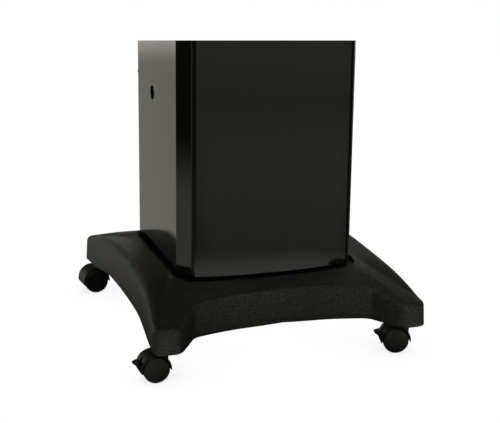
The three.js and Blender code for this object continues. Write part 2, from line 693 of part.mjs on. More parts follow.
function hingePin(centreZ) {
  const half = HINGE_LENGTH / 2;
  const shank = rod('Z', PIN_RADIUS, centreZ - half, centreZ + half + 1, [HINGE_X, HINGE_Y]);
  const head = rod('Z', PIN_HEAD_RADIUS, centreZ + half + GAP, centreZ + half + 6, [HINGE_X, HINGE_Y]);
  return join(shank, head);
}

function lockHousing() {
  const frontY = COLUMN_REAR_Y - DOOR_DEPTH - 3;
  const barrel = rod('Y', LOCK_RADIUS, frontY, COLUMN_REAR_Y + 1, [LOCK_X, LOCK_Z]);
  const flange = rod('Y', LOCK_RADIUS + 3, COLUMN_REAR_Y + GAP, COLUMN_REAR_Y + 3, [LOCK_X, LOCK_Z]);
  const bore = rod('Y', PLUG_RADIUS + GAP, frontY - OVERCUT, COLUMN_REAR_Y + 4, [LOCK_X, LOCK_Z]);
  return cut(join(barrel, flange), bore);
}

// The plug that the key turns, with the cam on its inner end and a keyway in its outer face.
function lockPlug() {
  const camRear = DOOR_STOP_Y - 0.5;
  const plug = rod('Y', PLUG_RADIUS, camRear - 2, COLUMN_REAR_Y + 3.5, [LOCK_X, LOCK_Z]);
  const cam = box([LOCK_X - 6, camRear - 2.5, LOCK_Z - 8], [LOCK_X + 6, camRear, LOCK_Z + CAM_LENGTH]);
  const keyway = box(
    [LOCK_X - 0.8, COLUMN_REAR_Y - 4, LOCK_Z - 3.5],
    [LOCK_X + 0.8, COLUMN_REAR_Y + 5, LOCK_Z + 3.5],
  );
  return cut(join(plug, cam), keyway);
}

function addDoor() {
  addPart('rear_door', rearDoor(), blackPaint);
  const third = HINGE_LENGTH / 6;
  const half = HINGE_LENGTH / 2;
  for (const [place, centreZ] of Object.entries(HINGE_CENTRES_Z)) {
    const outerKnuckles = [[-half, -third - GAP], [third + GAP, half]];
    const middleKnuckle = [[-third + GAP, third - GAP]];
    addPart(`hinge_frame_leaf_${place}`, hingeLeaf(-INNER_X + 0.1, centreZ, outerKnuckles), blackPaint);
    addPart(`hinge_door_leaf_${place}`, hingeLeaf(-INNER_X + 1.9, centreZ, middleKnuckle), blackPaint);
    addPart(`hinge_pin_${place}`, hingePin(centreZ), blackPaint);
  }
  addPart('lock_housing', lockHousing(), zincSteel);
  addPart('lock_plug', lockPlug(), zincSteel);
}

// ---- Desk ---------------------------------------------------------------------------------------------

// The desk's plan, drawn in by an inset: straight sides and back, rounded corners and a bowed front.
function deskPlan(inset) {
  const x = DESK_HALF_WIDTH - inset;
  const rear = DESK_REAR_Y - inset;
  const frontCorner = DESK_FRONT_Y + DESK_BOW + inset;
  const r = DESK_CORNER - inset;
  const noseControl = DESK_FRONT_Y - DESK_BOW + inset;
  const shape = new THREE.Shape();
  shape.moveTo(-x + r, rear);
  shape.quadraticCurveTo(-x, rear, -x, rear - r);
  shape.lineTo(-x, frontCorner + r);
  shape.quadraticCurveTo(-x, frontCorner, -x + r, frontCorner - 4);
  shape.quadraticCurveTo(0, noseControl, x - r, frontCorner - 4);
  shape.quadraticCurveTo(x, frontCorner, x, frontCorner + r);
  shape.lineTo(x, rear - r);
  shape.quadraticCurveTo(x, rear, x - r, rear);
  return shape;
}

// Moves a shape drawn on a level plane, with Z = 0 at the plane, onto the sloping top of the desk.
const SLOPE_PIVOT = new THREE.Vector3(0, DESK_FRONT_Y + 10, LECTERN_HEIGHT);
const ontoSlope = (geometry) => geometry.rotateX(-DESK_TILT).translate(...SLOPE_PIVOT.toArray());
const BOARD_CENTRE = 258; // from the front edge of the desk to the middle of the board, along the slope

function onBoard(geometry) {
  return ontoSlope(geometry.translate(0, BOARD_CENTRE, 0));
}

function deskShell() {
  const above = (depth) => ontoSlope(box([-400, -200, -depth], [400, 700, 400]));
  const blockTop = LECTERN_HEIGHT + 50;
  const block = prism(deskPlan(0), DESK_BOTTOM_Z, blockTop);
  const innerBlock = prism(deskPlan(DESK_WALL), DESK_BOTTOM_Z - OVERCUT, blockTop);
  const cavity = cut(innerBlock, above(BOARD_RECESS + DESK_WALL));
  const [halfWidth, halfDepth] = [BOARD_SIZE[0] / 2 + 1, BOARD_SIZE[1] / 2 + 1];
  const recess = onBoard(box([-halfWidth, -halfDepth, -BOARD_RECESS], [halfWidth, halfDepth, 30]));
  const grommetHole = onBoard(rod('Z', GROMMET_RADIUS, -60, 20, GROMMET_AT));
  return cut(block, above(0), cavity, recess, grommetHole);
}

function readingBoard() {
  const [width, depth, thickness] = BOARD_SIZE;
  const bottom = -BOARD_RECESS + GAP;
  return onBoard(box([-width / 2, -depth / 2, bottom], [width / 2, depth / 2, bottom + thickness]));
}

// A ledge on the desk's rim, along the presenter's edge of the board.
function paperStop() {
  const front = BOARD_SIZE[1] / 2 + 4;
  return onBoard(box([-STOP_LENGTH / 2, front, GAP], [STOP_LENGTH / 2, front + STOP_DEPTH, STOP_HEIGHT]));
}

// A collar through the desk's top with a flange that lies on it.
function cableGrommet() {
  const r = GROMMET_RADIUS - GAP;
  const low = -BOARD_RECESS - DESK_WALL - 2;
  const profile = [
    [r - 3, low],
    [r, low],
    [r, GAP],
    [r + 4, GAP],
    [r + 3, 2.5],
    [r - 3, 2.5],
    [r - 3, low],
  ].map(([radius, z]) => new THREE.Vector2(radius, z));
  const ring = new THREE.LatheGeometry(profile, facesAround(r)).rotateX(Math.PI / 2);
  return onBoard(ring.translate(GROMMET_AT[0], GROMMET_AT[1], 0));
}

function addDesk() {
  addPart('desk_shell', deskShell(), texturedPlastic);
  const plate = prism(deskPlan(DESK_WALL + GAP), DESK_BOTTOM_Z, DESK_BOTTOM_Z + SHEET);
  const cableHole = rod('Z', CABLE_HOLE_RADIUS, DESK_BOTTOM_Z - 2, DESK_BOTTOM_Z + 8, CABLE_HOLE_AT);
  addPart('desk_base_plate', cut(plate, cableHole), blackPaint);
  addPart('reading_board', readingBoard(), woodBoard);
  addPart('paper_stop', paperStop(), woodBoard);
  addPart('cable_grommet', cableGrommet(), rubber);
}

// ---- The lectern --------------------------------------------------------------------------------------

addBase();
addCaster('front_left', -CASTER_X, -CASTER_Y, 1, true);
addCaster('front_right', CASTER_X, -CASTER_Y, -15, true);
addCaster('rear_left', -CASTER_X, CASTER_Y, 5, false);
addCaster('rear_right', CASTER_X, CASTER_Y, 8, false);
addColumn();
addDoor();
addDesk();

export default lectern;
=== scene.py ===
# The looks of the presentation lectern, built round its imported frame.
# Shapes are drawn in millimetres in the frame's own axes, and turn into metres when they become pieces.
import json
import math

import bmesh
import bpy
from mathutils import Matrix, Vector


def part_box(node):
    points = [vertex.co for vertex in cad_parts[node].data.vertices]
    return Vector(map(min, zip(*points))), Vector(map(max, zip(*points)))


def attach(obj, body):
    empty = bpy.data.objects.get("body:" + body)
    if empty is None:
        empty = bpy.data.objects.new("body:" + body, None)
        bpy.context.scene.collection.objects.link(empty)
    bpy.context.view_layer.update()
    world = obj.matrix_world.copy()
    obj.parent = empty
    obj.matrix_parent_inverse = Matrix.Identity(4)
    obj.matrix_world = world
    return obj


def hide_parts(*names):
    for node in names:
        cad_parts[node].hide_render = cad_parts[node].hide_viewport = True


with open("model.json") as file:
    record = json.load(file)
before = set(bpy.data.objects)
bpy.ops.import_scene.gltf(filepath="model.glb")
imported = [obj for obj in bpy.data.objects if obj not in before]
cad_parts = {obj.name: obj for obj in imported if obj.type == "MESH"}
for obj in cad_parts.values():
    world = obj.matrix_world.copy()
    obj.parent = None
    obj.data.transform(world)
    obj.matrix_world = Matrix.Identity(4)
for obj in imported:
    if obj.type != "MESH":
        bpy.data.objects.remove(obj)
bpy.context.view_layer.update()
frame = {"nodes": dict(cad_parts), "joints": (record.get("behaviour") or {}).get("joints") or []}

MM = 0.001
PLACES = ("front_left", "front_right", "rear_left", "rear_right")
JOINTS = {joint["name"]: joint for joint in frame["joints"]}


# ---- Drawing ------------------------------------------------------------------------------------------


def box_of(node):
    """The lowest and highest corner of a CAD node, in millimetres."""
    low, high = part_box(node)
    return low / MM, high / MM


def trace(start, *runs, steps=8):
    """Points along a path. A run of one point is a straight, a run of two is a curve with a control point."""
    points = [Vector(start)]
    for run in runs:
        begin, control, end = points[-1], Vector(run[0]), Vector(run[-1])
        for i in range(1, steps + 1):
            t = i / steps
            if len(run) == 1:
                points.append(begin.lerp(end, t))
            else:
                points.append(begin * (1 - t) ** 2 + control * (2 * t * (1 - t)) + end * t ** 2)
    return points


def arc(centre, radius, start, end, steps=8):
    """Points of an arc between two angles in degrees, both ends included."""
    angles = [math.radians(start + (end - start) * i / steps) for i in range(steps + 1)]
    return [Vector((centre[0] + radius * math.cos(a), centre[1] + radius * math.sin(a))) for a in angles]


def prism(points, low, high, plane="XY"):
    """An outline raised between two levels: of Z for plane XY, and of Y for plane XZ."""
    bm = bmesh.new()
    rings = []
    for level in (low, high):
        if plane == "XY":
            ring = [bm.verts.new((x, y, level)) for x, y in points]
        else:
            ring = [bm.verts.new((x, level, z)) for x, z in points]
        rings.append(ring)
    count = len(points)
    for i in range(count):
        j = (i + 1) % count
        bm.faces.new((rings[0][i], rings[0][j], rings[1][j], rings[1][i]))
    bm.faces.new(rings[0])
    bm.faces.new(rings[1])
    bmesh.ops.recalc_face_normals(bm, faces=bm.faces)
    return bm


def block(low, high):
    """A box between two corners."""
    bm = bmesh.new()
    bmesh.ops.create_cube(bm, size=1)
    low, high = Vector(low), Vector(high)
    bm.transform(Matrix.Translation((low + high) / 2) @ Matrix.Diagonal((*(high - low), 1)))
    return bm


def soften(bm, width, segments=3, angle=30):
    """Rounds every edge that is sharper than an angle."""
    edges = [e for e in bm.edges if len(e.link_faces) == 2 and e.calc_face_angle(0) > math.radians(angle)]
    bmesh.ops.bevel(
        bm, geom=edges, offset=width, segments=segments, profile=0.5, affect="EDGES", clamp_overlap=True
    )
    return bm


def revolve(profile, segments=48):
    """A profile of (radius, height) points turned about Z. It runs from axis to axis, or closes on itself."""
    bm = bmesh.new()
    rings = []
    for radius, height in profile:
        if radius < 1e-6:
            rings.append([bm.verts.new((0, 0, height))])
            continue
        angles = [2 * math.pi * i / segments for i in range(segments)]
        rings.append([bm.verts.new((radius * math.cos(a), radius * math.sin(a), height)) for a in angles])
    closed = profile[0][0] > 1e-6
    pairs = list(zip(rings, rings[1:] + rings[:1])) if closed else list(zip(rings, rings[1:]))
    for a, b in pairs:
        for i in range(segments):
            j = (i + 1) % segments
            corners = [a[i % len(a)], a[j % len(a)], b[j % len(b)], b[i % len(b)]]
            bm.faces.new(list(dict.fromkeys(corners)))
    bmesh.ops.recalc_face_normals(bm, faces=bm.faces)
    return bm


def rod(radius, low, high, segments, chamfer=0):
    """A round bar about Z, with plain or chamfered ends."""
    if not chamfer:
        return revolve([(0, low), (radius, low), (radius, high), (0, high)], segments)
    neck, foot, top = radius - chamfer, low + chamfer, high - chamfer
    return revolve([(0, low), (neck, low), (radius, foot), (radius, top), (neck, high), (0, high)], segments)


def to_mesh(name, bm):
    mesh = bpy.data.meshes.new(name)
    bm.to_mesh(mesh)
    bm.free()
    return mesh


def combine(bm, *tools, operation="DIFFERENCE"):
    """Cuts tools from a shape, or joins them to it."""
    target = bpy.data.objects.new("target", to_mesh("target", bm))
    bpy.context.scene.collection.objects.link(target)
    cutters = []
    for tool in tools:
        cutter = bpy.data.objects.new("cutter", to_mesh("cutter", tool))
        bpy.context.scene.collection.objects.link(cutter)
        modifier = target.modifiers.new("boolean", "BOOLEAN")
        modifier.object, modifier.operation, modifier.solver = cutter, operation, "EXACT"
        cutters.append(cutter)
    evaluated = target.evaluated_get(bpy.context.evaluated_depsgraph_get())
    result = bmesh.new()
    result.from_mesh(evaluated.to_mesh())
    for scratch in (target, *cutters):
        bpy.data.objects.remove(scratch)
    bmesh.ops.remove_doubles(result, verts=result.verts, dist=1e-4)
    return result


def join(*shapes):
    return combine(*shapes, operation="UNION")


def moved(bm, matrix):
    bm.transform(matrix)
    return bm


def add_piece(name, bm, material, body, node, sharp=35, weighted=True):
    """Turns a shape into a piece that rides on a body and stands for a CAD node."""
    bmesh.ops.recalc_face_normals(bm, faces=bm.faces)
    bm.transform(Matrix.Scale(MM, 4))
    for face in bm.faces:
        face.smooth = True
    for edge in bm.edges:
        edge.smooth = edge.calc_face_angle(0) < math.radians(sharp)
    piece = bpy.data.objects.new(name, to_mesh(name, bm))
    bpy.context.scene.collection.objects.link(piece)
    piece.data.materials.append(material)
    if weighted:  # flat faces stay flat in the light next to their rounded edges
        normals = piece.modifiers.new("weighted_normals", "WEIGHTED_NORMAL")
        normals.mode, normals.weight, normals.keep_sharp = "FACE_AREA", 100, True
    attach(piece, body)
    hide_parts(node)


# ---- Materials ----------------------------------------------------------------------------------------


def add_node(tree, kind, inputs=None, **settings):
    """Adds a shader node. An input is a value, or the socket that it is linked to."""
    node = tree.nodes.new(kind)
    for key, value in settings.items():
        setattr(node, key, value)
    for key, value in (inputs or {}).items():
        if isinstance(value, bpy.types.NodeSocket):
            tree.links.new(value, node.inputs[key])
        else:
            node.inputs[key].default_value = value
    return node


class Nodes:
    """A short way to write a material's node tree."""

    def __init__(self, name, slot):
        self.material = bpy.data.materials.new(name)
        self.material["slot"] = slot
        self.material.use_nodes = True
        self.tree = self.material.node_tree
        self.shader = self.tree.nodes["Principled BSDF"]
        self.place = self.add("ShaderNodeTexCoord").outputs["Object"]

    def add(self, kind, inputs=None, **settings):
        return add_node(self.tree, kind, inputs, **settings)

    def noise(self, scale, detail=2.0, place=None):
        inputs = {"Vector": place or self.place, "Scale": scale, "Detail": detail}
        return self.add("ShaderNodeTexNoise", inputs).outputs["Fac"]

    def cells(self, scale, place=None):
        inputs = {"Vector": place or self.place, "Scale": scale}
        return self.add("ShaderNodeTexVoronoi", inputs).outputs["Distance"]

    def ramp(self, value, low, high, begin=0.0, end=1.0):
        """Maps a value from begin..end to low..high."""
        inputs = {"Value": value, "From Min": begin, "From Max": end, "To Min": low, "To Max": high}
        return self.add("ShaderNodeMapRange", inputs).outputs["Result"]

    def math(self, operation, a, b):
        return self.add("ShaderNodeMath", {0: a, 1: b}, operation=operation).outputs[0]

    def mix(self, factor, a, b):
        node = self.add("ShaderNodeMix", data_type="RGBA")
        for key, value in (("Factor", factor), ("A", a), ("B", b)):
            socket = next(s for s in node.inputs if s.name == key and s.enabled)
            if isinstance(value, bpy.types.NodeSocket):
                self.tree.links.new(value, socket)
            else:
                socket.default_value = value
        return next(s for s in node.outputs if s.enabled)

    def bump(self, height, distance, strength=1.0, normal=None):
        inputs = {"Height": height, "Distance": distance, "Strength": strength}
        if normal:
            inputs["Normal"] = normal
        return self.add("ShaderNodeBump", inputs).outputs["Normal"]

    def surface(self, **inputs):
        """Sets the shader's inputs. An underscore stands for a space."""
        for key, value in inputs.items():
            socket = self.shader.inputs[key.replace("_", " ")]
            if isinstance(value, bpy.types.NodeSocket):
                self.tree.links.new(value, socket)
            else:
                socket.default_value = value
        return self.material


def grey(value, warmth=0.0):
    """A grey in linear light, a little warmer in red and cooler in blue."""
    return (value * (1 + warmth), value, value * (1 - 1.6 * warmth), 1)


def pebble_plastic():
    """Dark moulded plastic with a pebble grain, slightly uneven as a large moulding is."""
    n = Nodes("pebble_plastic", "textured_plastic")
    pebbles = n.cells(520)
    fine = n.noise(1300, 3)
    wave = n.noise(22, 1)
    coarse = n.noise(240, 3)
    grain = n.math("ADD", n.math("MULTIPLY", pebbles, 0.7), n.math("MULTIPLY", fine, 0.5))
    grain = n.math("ADD", grain, n.math("MULTIPLY", coarse, 1.6))
    uneven = n.bump(wave, 0.0012, 0.5)
    colour = n.mix(n.ramp(n.noise(60, 4), 0.0, 1.0), grey(0.009, 0.02), grey(0.014, 0.03))
    speckled = n.mix(n.math("MULTIPLY", fine, pebbles), colour, grey(0.042, 0.03))
    return n.surface(
        Base_Color=speckled,
        Roughness=n.ramp(n.noise(240, 3), 0.44, 0.58),
        Specular_IOR_Level=n.ramp(n.noise(420, 1), 0.2, 0.8, 0.35, 0.65),
        Normal=n.bump(grain, 0.0009, 0.9, uneven),
    )


def powder_coat(name, low, high):
    """Black powder coat: a smooth film with a faint orange peel and handling marks."""
    n = Nodes(name, "black_paint")
    peel = n.noise(700, 2)
    smudges = n.noise(9, 4)
    return n.surface(
        Base_Color=n.mix(n.noise(35, 3), grey(0.006, 0.02), grey(0.009, 0.03)),
        Roughness=n.ramp(smudges, low, high),
        Normal=n.bump(peel, 0.00004, 0.5),
    )


def caster_plastic():
    """Plain black nylon with faint moulding grain."""
    n = Nodes("caster_nylon", "caster_plastic")
    return n.surface(
        Base_Color=n.mix(n.noise(180, 3), grey(0.006), grey(0.010)),
        Roughness=n.ramp(n.noise(420, 3), 0.38, 0.52),
        Specular_IOR_Level=0.38,
        Normal=n.bump(n.noise(1500, 2), 0.00006, 0.6),
    )


def zinc_steel():
    """Zinc plate: a bright metal with a cloudy spangle and fine drawing lines."""
    n = Nodes("zinc_plate", "zinc_steel")
    stretched = n.add("ShaderNodeMapping", {"Vector": n.place, "Scale": (1, 1, 14)}).outputs["Vector"]
    lines = n.noise(160, 3, stretched)
    return n.surface(
        Base_Color=n.mix(n.noise(70, 4), grey(0.42, -0.02), grey(0.56, -0.01)),
        Metallic=1.0,
        Roughness=n.ramp(lines, 0.22, 0.42),
        Normal=n.bump(lines, 0.00003, 0.5),
    )


def wood_board():
    """Dark laminate: long grain lines along X with slow colour bands."""
    n = Nodes("dark_laminate", "wood_board")
    along = n.add("ShaderNodeMapping", {"Vector": n.place, "Scale": (1.2, 16, 16)}).outputs["Vector"]
    grain = n.noise(14, 6, along)
    pores = n.noise(90, 3, along)
    band = n.mix(grain, (0.030, 0.017, 0.010, 1), (0.085, 0.050, 0.030, 1))
    return n.surface(
        Base_Color=n.mix(n.math("MULTIPLY", pores, 0.5), band, (0.018, 0.010, 0.006, 1)),
        Roughness=n.ramp(pores, 0.28, 0.42),
        Normal=n.bump(n.math("ADD", grain, pores), 0.00006, 0.6),
    )


def rubber():
    n = Nodes("rubber", "rubber")
    return n.surface(
        Base_Color=n.mix(n.noise(200, 3), grey(0.006), grey(0.012)),
        Roughness=n.ramp(n.noise(500, 2), 0.6, 0.8),
        Normal=n.bump(n.noise(1600, 2), 0.00006, 0.6),
    )


PEBBLE, NYLON = pebble_plastic(), caster_plastic()
PAINT, DULL_PAINT = powder_coat("powder_coat", 0.05, 0.12), powder_coat("dull_powder_coat", 0.4, 0.55)
ZINC, BOARD, RUBBER = zinc_steel(), wood_board(), rubber()


# ---- Base moulding ------------------------------------------------------------------------------------

RIM_Z = 150
POCKET_FLOOR_Z = 141
POCKET_UNDER_Z = 134
WALL, TOP_THICK = 5, 7
HOLLOW_CORNER = 11  # the hollow's ceiling starts this far inside the rounded upper edge
DRAFT = 2  # how far the wall leans inwards over its height
LIP_ROUND, LIP_CHAMFER = 2, 0.8  # outside and inside the wall's lower edge
FOOT_TIP = Vector((250, 285))  # the heights of both edges of the wall depend on the distance from here
FOOT_BOTTOM_Z, ARCH_RISE, ARCH = 62, 13, (50, 180)
FOOT_TOP_Z, FRONT_TOP_Z, SIDE_TOP_Z = 111, 149, 152
FOOT_REACH, CLIMB_LENGTH, FOOT_SPREAD = 20, 80, 0.55
FOOT_ROUND, FRONT_ROUND, SIDE_ROUND = 10, 9, 18  # the rounding of the upper edge
TOP_SWEEP = 0.85  # under 1 the top rises early on its way to the pocket
TOP_SMOOTHING = 4  # passes that even the top out
POCKET_EDGE = ((0.7, 0.3), (1.6, 1.2), (2, 2.4), (3, RIM_Z - POCKET_FLOOR_Z))  # inset and depth below the rim
BOLT_HOLE_RADIUS = 4.3


def outer_quarter():
    return trace(
        (251, 0),
        [(251, 68), (255, 136)],
        [(259, 204), (268, 272)],
        [(270, 301), (244, 301)],
        [(232, 301)],
        [(219, 301), (210, 288)],
        [(181, 243)],
        [(175, 233), (160, 231)],
        [(115, 223.5), (70, 227.5)],
        [(25, 231.5), (0, 231.5)],
    )


def front_rim_quarter():
    return trace(
        (187, 0),
        [(187, 26), (187, 53)],
        [(187, 80), (187, 106)],
        [(188, 124), (182, 141)],
        [(179, 148)],
        [(175, 156), (170, 161)],
        [(165, 165)],
        [(157, 170), (145, 171)],
        [(109, 176.5), (73, 179)],
        [(37, 182), (0, 182)],
    )


def rear_rim_quarter():
    return trace(
        (187, 0),
        [(187, 32), (187, 65)],
        [(187, 98), (187, 130)],
        [(187, 153), (185, 163)],
        [(183, 168)],
        [(180, 173), (174, 175)],
        [(167, 176)],
        [(159, 176), (149, 176)],
        [(112, 176), (75, 176)],
        [(37, 176), (0, 176)],
    )


def ring_of(front, rear):
    """Four quarters make a ring, counter-clockwise seen from above, starting at +X."""
    def flip(points, sx, sy):
        return [Vector((sx * p.x, sy * p.y)) for p in points]

    runs = [flip(rear, 1, 1), flip(rear, -1, 1)[::-1], flip(front, -1, -1), flip(front, 1, -1)[::-1]]
    return [p for run in runs for p in run[:-1]]


def normals_of(ring):
    count = len(ring)
    steps = [ring[(i + 1) % count] - ring[i - 1] for i in range(count)]
    return [Vector((s.y, -s.x)).normalized() for s in steps]


def smoothstep(value, low, high):
    t = min(max((value - low) / (high - low), 0), 1)
    return t * t * (3 - 2 * t)


def mix(a, b, t):
    return a + (b - a) * t


def skin(rings):
    """A solid through rings of points, each joined to the next, with a flat face on either end."""
    bm = bmesh.new()
    rows = [[bm.verts.new(p) for p in ring] for ring in rings]
    count = len(rows[0])
    for a, b in zip(rows, rows[1:]):
        for i in range(count):
            j = (i + 1) % count
            bm.faces.new((a[i], a[j], b[j], b[i]))
    bm.faces.new(rows[0])
    bm.faces.new(rows[-1])
    return bm, rows


def base_moulding():
    outer = ring_of(outer_quarter(), outer_quarter())
    rim = ring_of(front_rim_quarter(), rear_rim_quarter())
    normals, rim_normals = normals_of(outer), normals_of(rim)
    count = range(len(outer))
    away = [math.hypot(FOOT_SPREAD * (FOOT_TIP.x - abs(p.x)), FOOT_TIP.y - abs(p.y)) for p in outer]
    climb = [1 - math.exp(-max(d - FOOT_REACH, 0) / CLIMB_LENGTH) for d in away]
    sideways = [n.x ** 2 for n in normals]
    bottom_z = [FOOT_BOTTOM_Z + ARCH_RISE * smoothstep(d, *ARCH) for d in away]
    top_z = [mix(FOOT_TOP_Z, mix(FRONT_TOP_Z, SIDE_TOP_Z, sideways[i]), climb[i]) for i in count]
    radius = [mix(FOOT_ROUND, mix(FRONT_ROUND, SIDE_ROUND, sideways[i]), climb[i]) for i in count]

    def outer_ring(inset, z):
        return [(*(outer[i] - normals[i] * inset(i)), z(i)) for i in count]

    def rim_ring(inset, z):
        return [(*(rim[i] - rim_normals[i] * inset), z) for i in count]

    def round_ring(degrees):
        angle = math.radians(degrees)
        return outer_ring(
            lambda i: DRAFT + radius[i] * (1 - math.cos(angle)),
            lambda i: top_z[i] - radius[i] * (1 - math.sin(angle)),
        )

    def inside(distance, z):
        points = [outer[i] + (rim[i] - outer[i]).normalized() * distance(i) for i in count]
        return [(*points[i], z(i)) for i in count]

    shoulder = outer_ring(lambda i: DRAFT + radius[i], lambda i: top_z[i])

    def top_ring(t):
        ring = []
        for i in count:
            x, y, z = shoulder[i]
            ring.append((mix(x, rim[i].x, t), mix(y, rim[i].y, t), mix(z, RIM_Z, t ** TOP_SWEEP)))
        return ring

    def wall_ring(t):
        return outer_ring(
            lambda i: DRAFT * t,
            lambda i: mix(bottom_z[i] + LIP_ROUND, top_z[i] - radius[i], t),
        )

    under = [
        rim_ring(0, POCKET_UNDER_Z),
        inside(lambda i: radius[i] + HOLLOW_CORNER, lambda i: min(top_z[i] - TOP_THICK, POCKET_UNDER_Z)),
        outer_ring(lambda i: WALL + 1, lambda i: top_z[i] - radius[i] - WALL),
        outer_ring(lambda i: WALL, lambda i: bottom_z[i] + LIP_CHAMFER),
        outer_ring(lambda i: WALL - LIP_CHAMFER, lambda i: bottom_z[i]),
        outer_ring(lambda i: LIP_ROUND, lambda i: bottom_z[i]),
        outer_ring(lambda i: 0.3 * LIP_ROUND, lambda i: bottom_z[i] + 0.3 * LIP_ROUND),
    ]
    wall = [wall_ring(t) for t in (0, 0.25, 0.5, 0.75)]
    rounding = [round_ring(a) for a in range(0, 90, 12)]
    top = [shoulder] + [top_ring(i / 10) for i in range(1, 10)]
    pocket = [top_ring(0.98)] + [rim_ring(inset, RIM_Z - depth) for inset, depth in POCKET_EDGE]
    bm, rows = skin(under + wall + rounding + top + pocket)
    shoulder_row = len(under) + len(wall) + len(rounding)
    soft = [v for row in rows[shoulder_row + 1 : shoulder_row + len(top)] for v in row]
    for _ in range(TOP_SMOOTHING):
        bmesh.ops.smooth_vert(bm, verts=soft, factor=0.5, use_axis_x=True, use_axis_y=True, use_axis_z=True)
    holes = []
    for place in PLACES:
        low, high = box_of(f"column_bolt_{place}")
        centre = (low + high) / 2
        hole = rod(BOLT_HOLE_RADIUS, POCKET_UNDER_Z - 2, RIM_Z, 24)
        holes.append(moved(hole, Matrix.Translation((centre.x, centre.y, 0))))
    return combine(bm, *holes)


add_piece("moulded_base", base_moulding(), PEBBLE, "lectern", "base_moulding", sharp=40, weighted=False)


# ---- Casters ------------------------------------------------------------------------------------------

WHEEL_RADIUS = 25
HOOD_OUTER, HOOD_INNER, HOOD_HALF = 29.2, 26.9, 22
HOOD_FROM, HOOD_TO = -4, 190  # degrees round the axle
HOOD_TOP_Z = 60
WEB_HALF, BOSS_RADIUS = 5, 10  # half the thickness of the web that carries the axle, and the stem's boss
STEM_HOLE_RADIUS, STEM_HOLE_Z = 5.8, 43
AXLE_RADIUS, AXLE_HOLE_RADIUS, AXLE_HALF = 3, 3.2, 17.5
WHEEL_INNER, WHEEL_OUTER = 5.5, 22.5  # a wheel's two faces, from the middle of the caster
LEVER_PIVOT = Vector((-21, 12))  # from the axle, in X and Z
LEVER_PIN_RADIUS, LEVER_PIN_HOLE_RADIUS, LEVER_PIN_HALF = 2, 2.3, 4.7
LEVER_HUB_RADIUS, LEVER_ARM_HALF, LEVER_PAD_HALF = 3.4, 2.5, 6.5
LEVER_ROOM = ((-40, -4.6, -10.5), (5, 4.6, 7.5))  # the notch in the web, round the pivot
ALONG_Y = Matrix.Rotation(math.radians(-90), 4, "X")  # turns a shape drawn about Z to lie about Y


def caster_place(place):
    """Where a caster's own axes are: the stem on Z, the axle along Y behind it. Also its trail."""
    stem, roll = JOINTS[f"swivel_{place}"], JOINTS[f"roll_{place}"]
    x, y = (value / MM for value in stem["pos_m"][:2])
    trail = math.dist(stem["pos_m"][:2], roll["pos_m"][:2]) / MM
    turn = math.atan2(-roll["axis"][0], roll["axis"][1])
    return Matrix.Translation((x, y, 0)) @ Matrix.Rotation(turn, 4, "Z"), trail


def fender(axle_x):
    """The hood's arch over both wheels: a rounded strip bent round the axle."""
    inner, outer, half = HOOD_INNER, HOOD_OUTER, HOOD_HALF
    section = [
        (inner + 0.4, -half),
        (outer - 1.3, -half),
        (outer - 0.5, -half + 0.7),
        (outer - 0.1, -half + 2.4),
        (outer, -half + 8),
        (outer, half - 8),
        (outer - 0.1, half - 2.4),
        (outer - 0.5, half - 0.7),
        (outer - 1.3, half),
        (inner + 0.4, half),
        (inner, half - 0.4),
        (inner, -half + 0.4),
    ]
    steps = 48
    rings = []
    for i in range(steps + 1):
        angle = math.radians(HOOD_FROM + (HOOD_TO - HOOD_FROM) * i / steps)
        direction = Vector((math.cos(angle), 0, math.sin(angle)))
        rings.append([Vector((axle_x, y, WHEEL_RADIUS)) + direction * r for r, y in section])
    bm, rows = skin(rings)
    bmesh.ops.recalc_face_normals(bm, faces=bm.faces)
    ends = [e for row in (rows[0], rows[-1]) for v in row for e in v.link_edges if e.other_vert(v) in row]
    bmesh.ops.bevel(bm, geom=list(set(ends)), offset=0.5, segments=2, profile=0.5, affect="EDGES")
    return bm


def caster_hood(trail, has_brake):
    axle_x = -trail
    web_outline = arc((axle_x, WHEEL_RADIUS), HOOD_INNER + 1, HOOD_FROM + 12, HOOD_TO - 6, 40)
    chin = [(-22, 17), (-14, 10), (-6, 7.6), (6, 7.6), (14, 10), (22, 19)]
    web_outline += [Vector((axle_x + x, z)) for x, z in chin]
    web = soften(prism(web_outline, -WEB_HALF, WEB_HALF, "XZ"), 0.6, 2, 50)
    low, top, r = WHEEL_RADIUS + 8, HOOD_TOP_Z, BOSS_RADIUS
    boss = revolve([(0, low), (r, low), (r, top - 1), (r - 1, top), (0, top)], 40)
    body = join(fender(axle_x), web, boss)
    past_web = WEB_HALF + 3
    axle_hole = moved(rod(AXLE_HOLE_RADIUS, -past_web, past_web, 24), ALONG_Y)
    axle_hole = moved(axle_hole, Matrix.Translation((axle_x, 0, WHEEL_RADIUS)))
    tools = [axle_hole, rod(STEM_HOLE_RADIUS, STEM_HOLE_Z, HOOD_TOP_Z + 2, 24)]
    if has_brake:
        to_pivot = Matrix.Translation((axle_x + LEVER_PIVOT.x, 0, WHEEL_RADIUS + LEVER_PIVOT.y))
        tools.append(moved(soften(block(*LEVER_ROOM), 1.2, 2), to_pivot))
        tools.append(moved(rod(LEVER_PIN_HOLE_RADIUS, -past_web, past_web, 20), to_pivot @ ALONG_Y))
    return combine(body, *tools)


